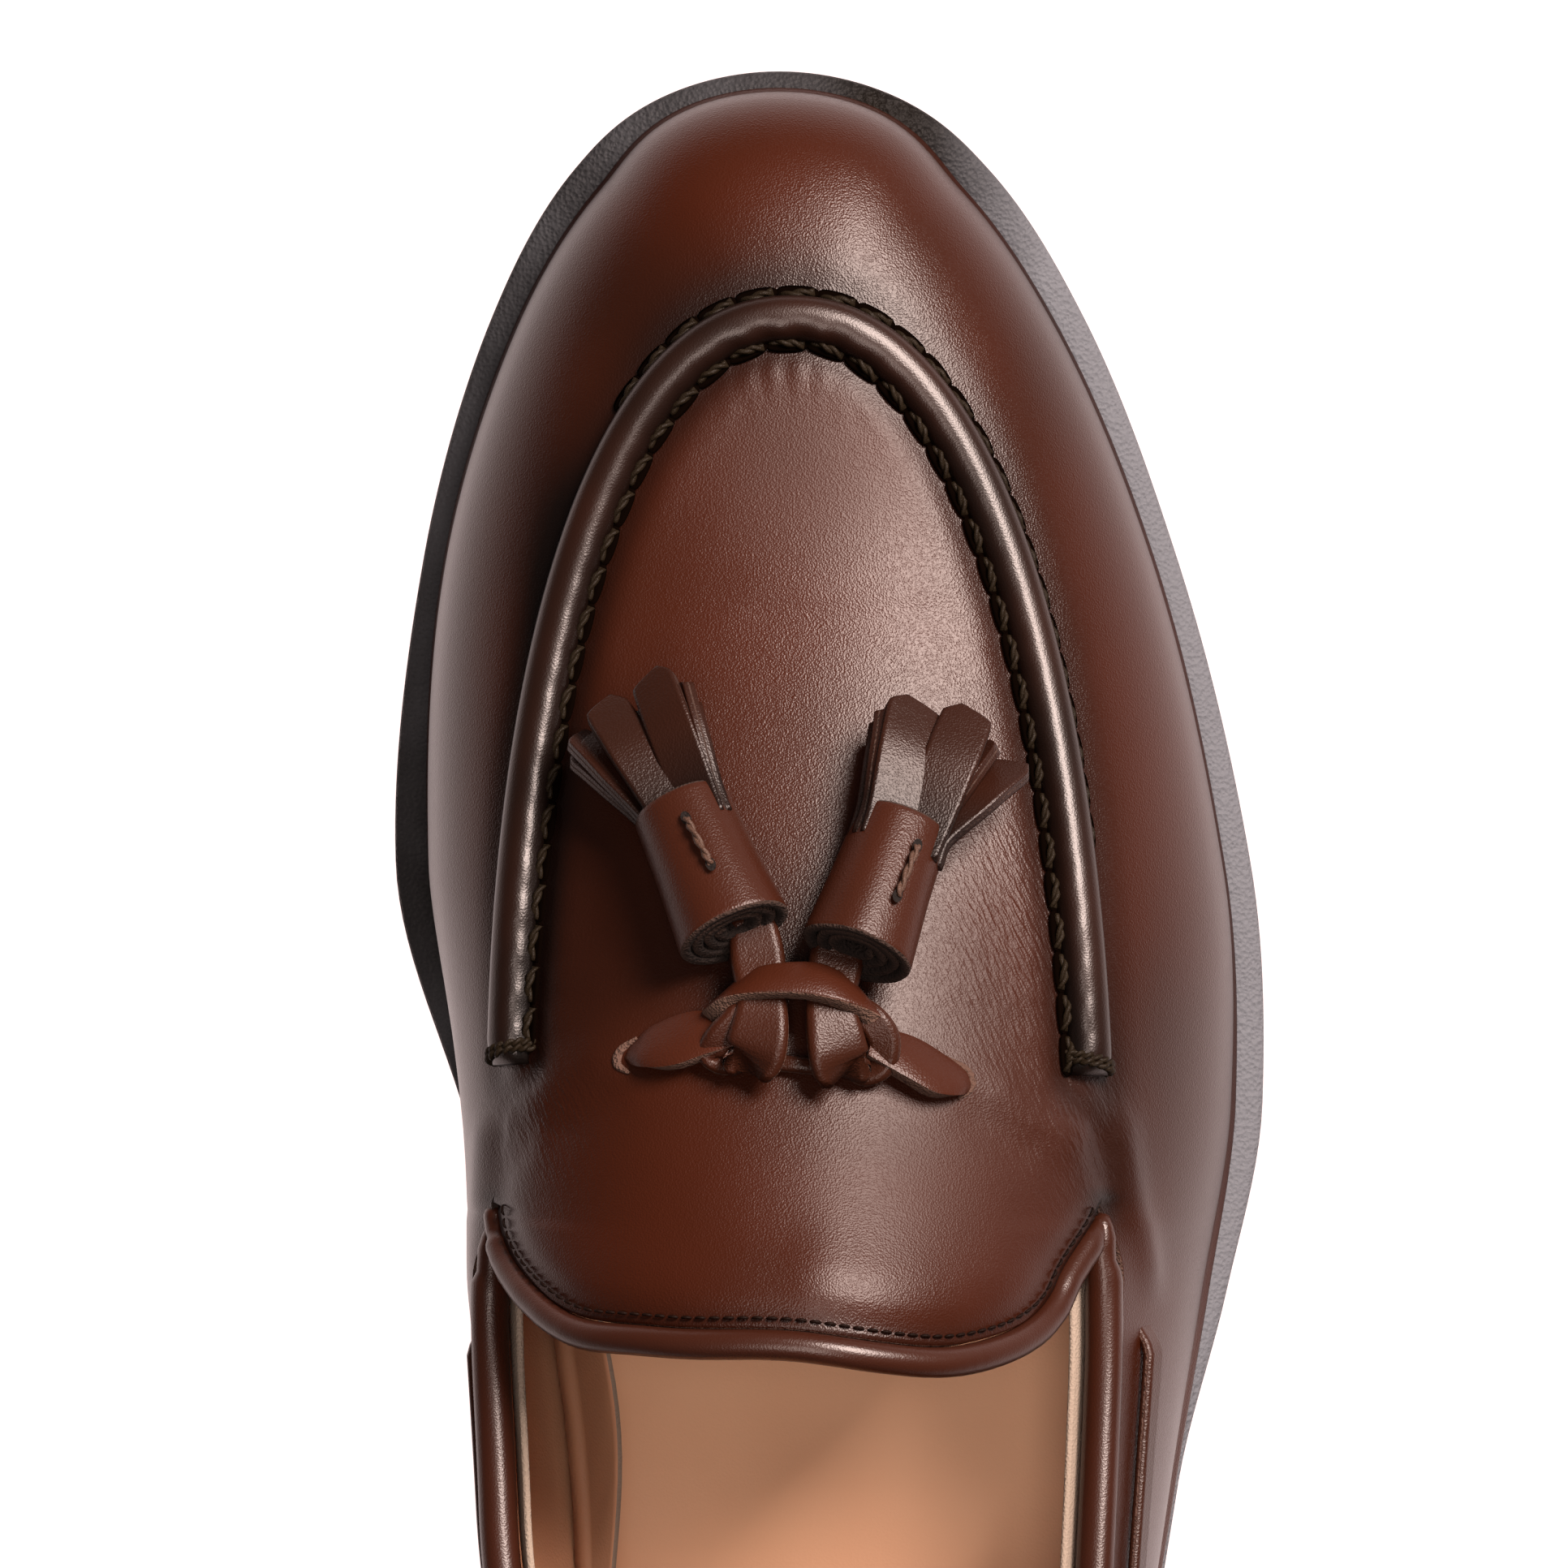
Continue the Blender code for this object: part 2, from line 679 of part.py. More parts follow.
def make_upper():
    """Vamp, quarters, apron and tongue as one hollow shell, open at the collar and underneath."""
    points, faces = upper_surface()
    shell = from_faces("upper", points, faces, "calf")
    wall = shell.modifiers.new("wall", "SOLIDIFY")
    wall.thickness = WALL
    wall.offset = -1
    wall.use_even_offset = True
    return shell


def plate(name, finish, start, end, levels, curve=0.0):
    """A solid between two stations, from (inset, height function) levels, top to bottom."""
    closed_front = end >= STATIONS
    last = STATIONS if closed_front else end
    layers = []
    for inset, height in levels:
        rows = []
        for k in range(start, last + 1):
            turn = TURNS[k]
            lateral = outline(turn, inset(turn))
            medial = outline(-turn, inset(-turn))
            row = []
            for c in range(PLATE_COLUMNS + 1):
                point = medial.lerp(lateral, c / PLATE_COLUMNS)
                if k == last and not closed_front:
                    point.y -= curve * (1 - (2 * c / PLATE_COLUMNS - 1) ** 2)
                point.z = height(point.y)
                row.append(point)
            rows.append(row)
        layers.append(rows)
    points, faces = [], []
    for rows in layers:
        points += [p for row in rows for p in row]
    width, size = PLATE_COLUMNS + 1, len(layers[0]) * (PLATE_COLUMNS + 1)

    def at(layer, k, c):
        return layer * size + k * width + c

    count = len(layers[0])
    for layer in (0, len(layers) - 1):
        for k in range(count - 1):
            for c in range(PLATE_COLUMNS):
                near = (at(layer, k, c), at(layer, k, c + 1))
                far = (at(layer, k + 1, c + 1), at(layer, k + 1, c))
                faces.append(near + far)
    rim = [(0, c) for c in range(width)]
    rim += [(k, width - 1) for k in range(1, count)]
    rim += [(count - 1, c) for c in range(width - 2, -1, -1)]
    rim += [(k, 0) for k in range(count - 2, 0, -1)]
    for layer in range(len(layers) - 1):
        for (k, c), (m, d) in zip(rim, rim[1:] + rim[:1]):
            faces.append((at(layer, k, c), at(layer, m, d), at(layer + 1, m, d), at(layer + 1, k, c)))
    return from_faces(name, points, faces, finish)


def make_outsole():
    """Outsole with a softened edge, flat under the forefoot."""

    def top(y):
        return seat_height(y) - GAP

    def bottom(y):
        return top(y) - sole_thickness(y)

    levels = [
        (lambda t: SOLE_BEVEL, top),
        (lambda t: 0.0, lambda y: top(y) - SOLE_BEVEL),
        (lambda t: 0.0, lambda y: bottom(y) + SOLE_BEVEL),
        (lambda t: SOLE_BEVEL, bottom),
    ]
    return plate("outsole", "sole_black", 0, STATIONS, levels)


def make_heel():
    """Heel block under the outsole, with a hollowed breast."""
    end = HEEL_BREAST - SOLE_LENGTH / 2
    breast = min(range(STATIONS), key=lambda k: abs(raw_outline(TURNS[k]).y - end))

    def top(y):
        return seat_height(y) - sole_thickness(y) - 2 * GAP

    levels = [
        (lambda t: SOLE_BEVEL, top),
        (lambda t: SOLE_BEVEL + HEEL_TAPER / 2, lambda y: HEEL_HEIGHT / 2),
        (lambda t: SOLE_BEVEL + HEEL_TAPER, lambda y: 0.0),
    ]
    return plate("heel", "sole_black", 0, breast, levels, BREAST_CURVE)


def make_insole():
    """Insole inside the upper's walls."""

    def inset(turn):
        return margin(turn) + WALL + 2 * GAP

    levels = [
        (inset, lambda y: seat_height(y) + INSOLE_THICKNESS),
        (inset, lambda y: seat_height(y)),
    ]
    return plate("insole", "insole_leather", 0, STATIONS, levels)


def make_apron_seam():
    """Raised roll along the apron's outline, from one side of the throat round the toe."""
    turns = TURNS[SEAM_END:] + [2 * math.pi - t for t in reversed(TURNS[SEAM_END:-1])]
    frames = []
    for turn in turns:
        controls = ray_controls(turn)
        share = apron_share(controls)
        frames.append((on_ray(controls, share), last_normal(turn, share)))
    rings = []
    for k, (point, normal) in enumerate(frames):
        before, after = frames[max(k - 1, 0)][0], frames[min(k + 1, len(frames) - 1)][0]
        across = (after - before).cross(normal).normalized()
        foot = point + normal * GAP
        ring = [foot - across * SEAM_WIDTH / 2, foot + across * SEAM_WIDTH / 2]
        for n in range(1, SEAM_SIDES):
            angle = math.pi * n / SEAM_SIDES
            side = across * (math.cos(angle) * SEAM_WIDTH / 2)
            ring.append(foot + side + normal * (math.sin(angle) * SEAM_HEIGHT))
        rings.append(ring)
    return loft("apron_seam", rings, "edge_calf")


def topline_frames():
    """Point, upward direction and normal along the topline, from lateral to medial throat."""
    turns = list(reversed(TURNS[: THROAT + 1])) + [2 * math.pi - t for t in TURNS[1 : THROAT + 1]]
    frames = []
    for turn in turns:
        controls = ray_controls(turn)
        share = collar_share(controls)
        up = (on_ray(controls, share + 0.01) - on_ray(controls, share - 0.01)).normalized()
        frames.append((on_ray(controls, share), up, last_normal(turn, share)))
    return frames


def distance_to_path(point, path):
    """Distance from a point to a line through points."""
    found = []
    for start, end in zip(path, path[1:]):
        share = intersect_point_line(point, start, end)[1]
        found.append((point - start.lerp(end, min(max(share, 0.0), 1.0))).length)
    return min(found)


def fitted_binding(edges, radius, neighbours):
    """Centres and radii of a binding along edges, narrowed where its neighbours leave less space."""
    runs = [[]]
    for edge, outward in edges:
        for share in BINDING_STEPS:
            narrowed = radius * share
            centre = edge + outward * (GAP + narrowed)
            if all(distance_to_path(centre, path) > narrowed + room + GAP for path, room in neighbours):
                runs[-1].append((centre, narrowed))
                break
        else:
            runs.append([])
    longest = max(runs, key=len)
    return [centre for centre, _ in longest], [narrowed for _, narrowed in longest]


def make_bindings():
    """Rolled bindings of tongue and collar, which thin out where they meet at the throat."""
    frames = topline_frames()
    rim = [(point - normal * (WALL / 2), up) for point, up, normal in frames]
    edge = tongue_outline(frames[-1][0], frames[0][0], 2 * APRON_ROWS)
    edge = [on_last(place.x, place.y) for place in edge]
    tongue = []
    for k in range(1, len(edge) - 1):
        point, normal = edge[k]
        outward = normal.cross(edge[k - 1][0] - edge[k + 1][0]).normalized()
        tongue.append((point - normal * (WALL / 2), outward))
    rim_path = [point for point, _ in rim]
    tongue_path = [rim_path[-1]] + [point for point, _ in tongue] + [rim_path[0]]
    path, radii = fitted_binding(tongue, TONGUE_BINDING_RADIUS, [(rim_path, WALL / 2)])
    tube("tongue_binding", path, radii, "edge_calf")
    neighbours = [(path, TONGUE_BINDING_RADIUS), (tongue_path, WALL / 2)]
    collar, radii = fitted_binding(rim, COLLAR_BINDING_RADIUS, neighbours)
    tube("collar_binding", collar, radii, "edge_calf")


def make_rail(name, lateral):
    """Lace along the outside of a quarter, under the topline."""
    start = from_toe(THROAT_FROM_TOE + RAIL_START_BEHIND_THROAT)
    end = RAIL_END_FROM_HEEL - SOLE_LENGTH / 2
    path = []
    for turn in TURNS:
        place = feather(turn).y
        if not end <= place <= start:
            continue
        turn = turn if lateral else 2 * math.pi - turn
        controls = ray_controls(turn)
        share = collar_share(controls)
        length = (on_ray(controls, share) - on_ray(controls, share - 0.05)).length
        share -= 0.05 * RAIL_BELOW_COLLAR / length
        up = (on_ray(controls, share + 0.01) - on_ray(controls, share - 0.01)).normalized()
        normal = last_normal(turn, share)
        centre = on_ray(controls, share) + normal * (GAP + RAIL_THICKNESS / 2)
        path.append((centre, normal, up))
    return ribbon(name, path, "lace_calf", RAIL_WIDTH, RAIL_THICKNESS)


def knot_place(offset, ahead, height):
    """Point over the apron, across and along from the knot's middle, at a height off the surface."""
    y = from_toe(KNOT_FROM_TOE) + ahead
    point, normal = on_last(ridge_point(y).x + offset, y)
    return point + Vector((0, 0, height / normal.z)), normal


def make_lace(side):
    """Bar of lace from the slit to the loop, and the loop that ends in the tassel's cuff."""
    inner = LOOP_SPREAD / 2 + LACE_WIDTH / 2 + GAP
    bar = []
    for row in BAR_ROWS:
        offset = side.sign * (SLIT_SPREAD / 2 * (1 - row.along) + inner * row.along)
        height = GAP + LACE_THICKNESS / 2 + row.lift * BAR_LIFT
        behind = side.slit_behind * SLIT_BEHIND * (1 - row.along)
        bar.append(knot_place(offset, -behind, height))
    lead = (bar[-1][0] - bar[0][0]).normalized()
    inward = Vector((-side.sign, 0, 0))
    bar = [
        (centre, normal, normal.cross(inward if k == len(bar) - 1 else lead).normalized())
        for k, (centre, normal) in enumerate(bar)
    ]
    ribbon("lace_bar_" + side.name, bar, "lace_calf", LACE_WIDTH, LACE_THICKNESS)

    spread = side.sign * LOOP_SPREAD / 2
    centres = []
    for row in LOOP_ROWS:
        centres.append(knot_place(spread, row.ahead * LOOP_DEPTH, row.height * LOOP_HEIGHT)[0])
    rear, front = cuff_axis(side)
    ahead = (front - rear).normalized()
    low = rear - Vector((0, 0, STEM_DROP))
    centres += [low - ahead * STEM_LEAD, low + ahead * CUFF_LENGTH * 0.2]
    path = []
    for k, centre in enumerate(centres):
        along = centres[min(k + 1, len(centres) - 1)] - centres[max(k - 1, 0)]
        across = Vector((1, 0, 0)) if k < len(LOOP_ROWS) else ahead.cross(Vector((0, 0, 1)))
        normal = across.cross(along).normalized()
        narrowing = 1.0 if k < len(LOOP_ROWS) - 1 else STEM_NARROWING
        path.append((centre, normal, along.cross(normal).normalized() * narrowing))
    ribbon("lace_loop_" + side.name, path, "lace_calf", LACE_WIDTH, LACE_THICKNESS)


def make_keeper():
    """Band that holds both loops down."""
    centres = []
    for row in KEEPER_ROWS:
        offset = row.across * KEEPER_SPAN / 2 - KEEPER_SHIFT
        centres.append(knot_place(offset, KEEPER_AHEAD, row.height * KEEPER_HEIGHT)[0])
    path = []
    for k, centre in enumerate(centres):
        along = centres[min(k + 1, len(centres) - 1)] - centres[max(k - 1, 0)]
        normal = along.cross(Vector((0, 1, 0))).normalized()
        path.append((centre, normal, normal.cross(along).normalized()))
    return ribbon("lace_keeper", path, "lace_calf", KEEPER_WIDTH, LACE_THICKNESS)


def cuff_axis(side):
    """Rear and front end of a tassel's axis, lying on the apron."""
    spread = side.sign * CUFF_SPREAD / 2
    rise = CUFF_RADIUS + CUFF_FLARE + 2 * GAP
    ahead = side.cuff_ahead * CUFF_AHEAD
    rear, _ = knot_place(spread, ahead, rise)
    step = CUFF_LENGTH * CUFF_PLAN_SHARE
    front_offset = spread + side.sign * step * math.sin(side.turn)
    front, _ = knot_place(front_offset, ahead + step * math.cos(side.turn), rise)
    return rear, rear + (front - rear).normalized() * CUFF_LENGTH


def axis_frame(side):
    """Matrix with its origin at the cuff's rear end, +Z along the tassel and +Y away from the apron."""
    rear, front = cuff_axis(side)
    ahead = (front - rear).normalized()
    up = (Vector((0, 0, 1)) - ahead * ahead.z).normalized()
    across = up.cross(ahead).normalized()
    return Matrix.Translation(rear) @ Matrix((across, up, ahead)).transposed().to_4x4()


def make_cuff(name, frame):
    """Rolled leather cuff, a turned ring."""
    inner, rear = CUFF_RADIUS - CUFF_WALL, CUFF_RADIUS + CUFF_FLARE
    profile = [(CUFF_RADIUS, CUFF_LENGTH), (rear, 0.0), (inner + CUFF_FLARE, 0.0), (inner, CUFF_LENGTH)]
    mesh = bpy.data.meshes.new("tassel_cuff_" + name)
    count = len(profile)
    mesh.from_pydata([(r, 0, z) for r, z in profile], [(n, (n + 1) % count) for n in range(count)], [])
    cuff = add_mesh("tassel_cuff_" + name, mesh, "lace_calf")
    turning = cuff.modifiers.new("turning", "SCREW")
    turning.steps = turning.render_steps = ROUND_SEGMENTS
    turning.use_merge_vertices = True
    turning.merge_threshold = 0.00005
    turning.use_smooth_shade = False
    cuff.matrix_world = frame
    return cuff


def fringe_strip(side, row, frame):
    """One cut strip, rooted in the core and splayed past the cuff."""
    out = Vector((-side.sign * math.cos(row.around), math.sin(row.around), 0))
    across = Vector((-out.y, out.x, 0)) * side.sign
    root = CUFF_RADIUS - CUFF_WALL - GAP - STRIP_THICKNESS
    length = FRINGE_LENGTH * row.length
    turn = row.turn + side.fringe_turn
    tip = Vector((side.sign * math.sin(turn), 0, math.cos(turn))) * length
    tip.y -= row.droop * CUFF_RADIUS
    start = out * root + Vector((0, 0, CUFF_LENGTH))
    slant = across * row.slant * STRIP_WIDTH
    stagger = math.sin(5 * row.around) * CORE_STAGGER
    rings = []
    for stage in STAGE_ROWS:
        behind = stage.behind + (stagger if stage.behind > 0 else 0)
        centre = start - Vector((0, 0, CUFF_LENGTH * behind)) + tip * stage.ahead
        centre += out * (STRIP_THICKNESS * stage.lift)
        if stage is STAGE_ROWS[-1]:
            centre += slant
        wide, up = across * (STRIP_WIDTH * stage.width / 2), out * (STRIP_THICKNESS / 2)
        ring = [centre - wide - up, centre + wide - up, centre + wide + up, centre - wide + up]
        rings.append([frame @ p for p in ring])
    return rings


def make_fringe(side, frame):
    """Rolled core with its cut strips fused on."""
    radius = CUFF_RADIUS - CUFF_WALL - GAP
    start, end = CUFF_LENGTH * CORE_START, CUFF_LENGTH * CORE_END
    mesh = bpy.data.meshes.new("tassel_fringe_" + side.name)
    core = bmesh.new()
    bmesh.ops.create_cone(
        core,
        cap_ends=True,
        segments=ROUND_SEGMENTS,
        radius1=radius,
        radius2=radius * CORE_TAPER,
        depth=end - start,
    )
    core.to_mesh(mesh)
    core.free()
    mesh.transform(frame @ Matrix.Translation((0, 0, (start + end) / 2)))
    fringe = add_mesh("tassel_fringe_" + side.name, mesh, "lace_calf")
    for n, row in enumerate(STRIP_ROWS):
        strip = loft(f"strip_{side.name}_{n}", fringe_strip(side, row, frame), "lace_calf", "cutters")
        strip.hide_render = True
        strip.display_type = "WIRE"
        joint = fringe.modifiers.new(f"strip_{n}", "BOOLEAN")
        joint.operation = "UNION"
        joint.object = strip
    return fringe


def main():
    for old in list(bpy.data.objects):
        bpy.data.objects.remove(old)
    make_outsole()
    make_heel()
    make_insole()
    make_upper()
    make_apron_seam()
    make_bindings()
    make_keeper()
    for side in SIDE_ROWS:
        make_rail("quarter_lace_" + side.name, side.sign > 0)
        make_lace(side)
        frame = axis_frame(side)
        make_cuff(side.name, frame)
        make_fringe(side, frame)


main()
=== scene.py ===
"""Looks of the tassel loafer: a burnished calf shoe seen from straight above, toe up.

Everything is built in the shoe's own frame, in metres: +Z up, +Y towards the toe, +X lateral.
"""

import json
import logging
import math
from collections.abc import Callable, Sequence
from dataclasses import dataclass, field
from enum import Enum
from typing import NamedTuple

import bmesh
import bpy
import numpy as np
from mathutils import Matrix, Vector
from mathutils.bvhtree import BVHTree

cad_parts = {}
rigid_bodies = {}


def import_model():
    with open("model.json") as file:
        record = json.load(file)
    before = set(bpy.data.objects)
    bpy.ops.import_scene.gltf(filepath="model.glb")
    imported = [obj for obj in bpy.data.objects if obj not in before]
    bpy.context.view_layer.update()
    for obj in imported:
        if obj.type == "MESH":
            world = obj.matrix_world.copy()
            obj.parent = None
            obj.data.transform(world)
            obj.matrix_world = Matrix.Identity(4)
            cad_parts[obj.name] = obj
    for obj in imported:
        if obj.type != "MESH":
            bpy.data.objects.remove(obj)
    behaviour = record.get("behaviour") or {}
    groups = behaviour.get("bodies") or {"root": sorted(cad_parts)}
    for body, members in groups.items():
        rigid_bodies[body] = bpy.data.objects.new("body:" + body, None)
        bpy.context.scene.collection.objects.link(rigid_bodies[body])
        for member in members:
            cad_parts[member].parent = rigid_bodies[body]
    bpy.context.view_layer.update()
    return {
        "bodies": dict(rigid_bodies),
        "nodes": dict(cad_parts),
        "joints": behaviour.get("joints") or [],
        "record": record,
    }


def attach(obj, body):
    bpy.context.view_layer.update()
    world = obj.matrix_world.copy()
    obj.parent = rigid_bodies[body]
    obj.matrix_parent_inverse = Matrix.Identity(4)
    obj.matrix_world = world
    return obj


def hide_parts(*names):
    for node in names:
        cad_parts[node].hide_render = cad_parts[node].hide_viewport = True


LOG = logging.getLogger("loafer")
MM = 0.001
FAR = 1e9
TINY = 1e-12
FLAT_SHARE = 0.84
STRAP_EDGES = (7, 15)
Piece = bpy.types.Object
Pair = tuple[float, float]
Triple = tuple[float, float, float]
Section = list[Pair]
Faces = list[tuple[int, ...]]


class Side(Enum):
    """Side of this right shoe, as the sign of X."""

    MEDIAL = -1
    LATERAL = 1


class SoleRow(NamedTuple):
    """Half widths and shown margins of the sole at a share of its length."""

    along: float
    medial: float
    lateral: float
    margin_medial: float
    margin_lateral: float


class HeightRow(NamedTuple):
    """Lift of heel and toe, sole thickness and ridge height at a share of the length."""

    along: float
    heel_lift: float
    toe_lift: float
    tread: float
    ridge: float


class FormRow(NamedTuple):
    """Section form of both sides at a share of the length."""

    along: float
    bulge_m: float
    rise_m: float
    crown_m: float
    bulge_l: float
    rise_l: float
    crown_l: float


class CollarRow(NamedTuple):
    """Topline height over the seat at a share of the length."""

    along: float
    height: float


SOLE_ROWS = [
    SoleRow(*row)
    for row in (
        (0.000, 0.540, 0.540, 0.55, 0.55), (0.075, 0.504, 0.513, 0.50, 0.50),
        (0.160, 0.417, 0.440, 0.40, 0.40), (0.300, 0.318, 0.394, 0.25, 0.25),
        (0.410, 0.298, 0.422, 0.25, 0.25), (0.490, 0.326, 0.478, 0.45, 0.62),
        (0.570, 0.398, 0.532, 0.80, 0.85), (0.670, 0.492, 0.553, 0.98, 0.82),
        (0.800, 0.526, 0.553, 0.68, 0.72), (0.900, 0.557, 0.568, 0.78, 0.85),
        (0.960, 0.601, 0.603, 0.90, 0.95), (1.000, 0.660, 0.660, 0.60, 0.60),
    )
]

HEIGHT_ROWS = [
    HeightRow(*row)
    for row in (
        (0.00, 1.000, 0.00, 0.0, 1.000), (0.15, 0.955, 0.00, 0.0, 0.990),
        (0.25, 0.855, 0.00, 0.0, 0.965), (0.32, 0.720, 0.00, 0.0, 0.930),
        (0.40, 0.500, 0.00, 0.0, 0.855), (0.46, 0.310, 0.00, 0.2, 0.780),
        (0.52, 0.140, 0.00, 0.6, 0.705), (0.58, 0.030, 0.00, 1.0, 0.628),
        (0.62, 0.000, 0.00, 1.0, 0.582), (0.72, 0.000, 0.00, 1.0, 0.476),
        (0.78, 0.000, 0.00, 1.0, 0.424), (0.86, 0.000, 0.17, 1.0, 0.372),
        (0.93, 0.000, 0.50, 1.0, 0.335), (1.00, 0.000, 1.00, 1.0, 0.300),
    )
]

FORM_ROWS = [
    FormRow(*row)
    for row in (
        (0.00, 0.047, 0.50, 0.75, 0.047, 0.50, 0.75), (0.16, 0.060, 0.50, 0.78, 0.047, 0.50, 0.72),
        (0.30, 0.150, 0.48, 0.84, 0.030, 0.42, 0.58), (0.41, 0.222, 0.46, 0.90, 0.010, 0.38, 0.50),
        (0.49, 0.198, 0.53, 0.86, 0.000, 0.38, 0.48), (0.57, 0.105, 0.66, 0.78, 0.015, 0.46, 0.52),
        (0.66, 0.028, 0.75, 0.72, 0.028, 0.55, 0.60), (0.80, 0.023, 0.75, 0.68, 0.023, 0.62, 0.62),
        (0.90, 0.019, 0.75, 0.60, 0.019, 0.70, 0.60), (1.00, 0.014, 0.75, 0.55, 0.014, 0.75, 0.55),
    )
]

COLLAR_ROWS = [
    CollarRow(*row)
    for row in (
        (0.00, 1.000), (0.08, 0.965), (0.17, 0.835), (0.28, 0.700), (0.38, 0.640),
        (0.46, 0.630), (0.50, 0.645), (0.54, 0.745), (0.60, 0.780),
    )
]


def row_value(rows: Sequence[NamedTuple], column: str, along: float) -> float:
    """Smooth value of a table's column at a share of the length.

    Args:
        rows: The table, in rising order of its column along.
        column: Name of the column read.
        along: Share of the length, from heel to toe.

    Returns:
        The value, by a monotone cubic through the rows.
    """
    along = min(max(along, rows[0].along), rows[-1].along)
    k = max(i for i in range(len(rows) - 1) if rows[i].along <= along)
    low, high = rows[k], rows[k + 1]
    step = high.along - low.along

    def slope(i: int) -> float:
        """Slope at a row, 0 where the column turns."""
        if i in (0, len(rows) - 1):
            return 0.0
        before, here, after = (getattr(rows[n], column) for n in (i - 1, i, i + 1))
        left = (here - before) / (rows[i].along - rows[i - 1].along)
        right = (after - here) / (rows[i + 1].along - rows[i].along)
        return 2.0 * left * right / (left + right) if left * right > 0 else 0.0

    u = (along - low.along) / step
    a, b = getattr(low, column), getattr(high, column)
    rise = step * ((u**3 - 2 * u**2 + u) * slope(k) + (u**3 - u**2) * slope(k + 1))
    return a + (b - a) * (3 * u**2 - 2 * u**3) + rise


def bisect(low: float, high: float, goal: Callable[[float], bool]) -> float:
    """Where goal changes from true at low to false at high."""
    for _ in range(34):
        middle = (low + high) / 2
        if goal(middle):
            low = middle
        else:
            high = middle
    return (low + high) / 2


def smoothstep(low: float, high: float, value: np.ndarray) -> np.ndarray:
    """Soft step from 0 at low to 1 at high."""
    u = np.clip((value - low) / (high - low), 0.0, 1.0)
    return u * u * (3 - 2 * u)


def rows_through(points: Sequence[Sequence[float]], count: int) -> list[np.ndarray]:
    """Rows of a smooth curve through the given ones, of any number of columns."""
    keys = [np.array(tuple(point), float) for point in points]
    keys = [2 * keys[0] - keys[1], *keys, 2 * keys[-1] - keys[-2]]
    spans = len(keys) - 3
    found = []
    for n in range(count):
        place = n / (count - 1) * spans
        k = min(int(place), spans - 1)
        t = place - k
        a, b, c, d = keys[k : k + 4]
        cubic = 2 * b + (c - a) * t + (2 * a - 5 * b + 4 * c - d) * t**2
        found.append((cubic + (3 * b - a - 3 * c + d) * t**3) / 2)
    return found


def through(points: Sequence[Sequence[float]], count: int) -> list[Vector]:
    """Points of a smooth curve through the given ones."""
    return [Vector(row) for row in rows_through(points, count)]


def direction(points: Sequence[Vector], k: int) -> Vector:
    """Direction of a line of points at one of them."""
    return (points[min(k + 1, len(points) - 1)] - points[max(k - 1, 0)]).normalized()


@dataclass(frozen=True)
class Frame:
    """A place on a path: a point, the direction across it and the direction up from it."""

    point: Vector
    across: Vector
    up: Vector


Ray = tuple[Vector, Vector, Vector, Vector]


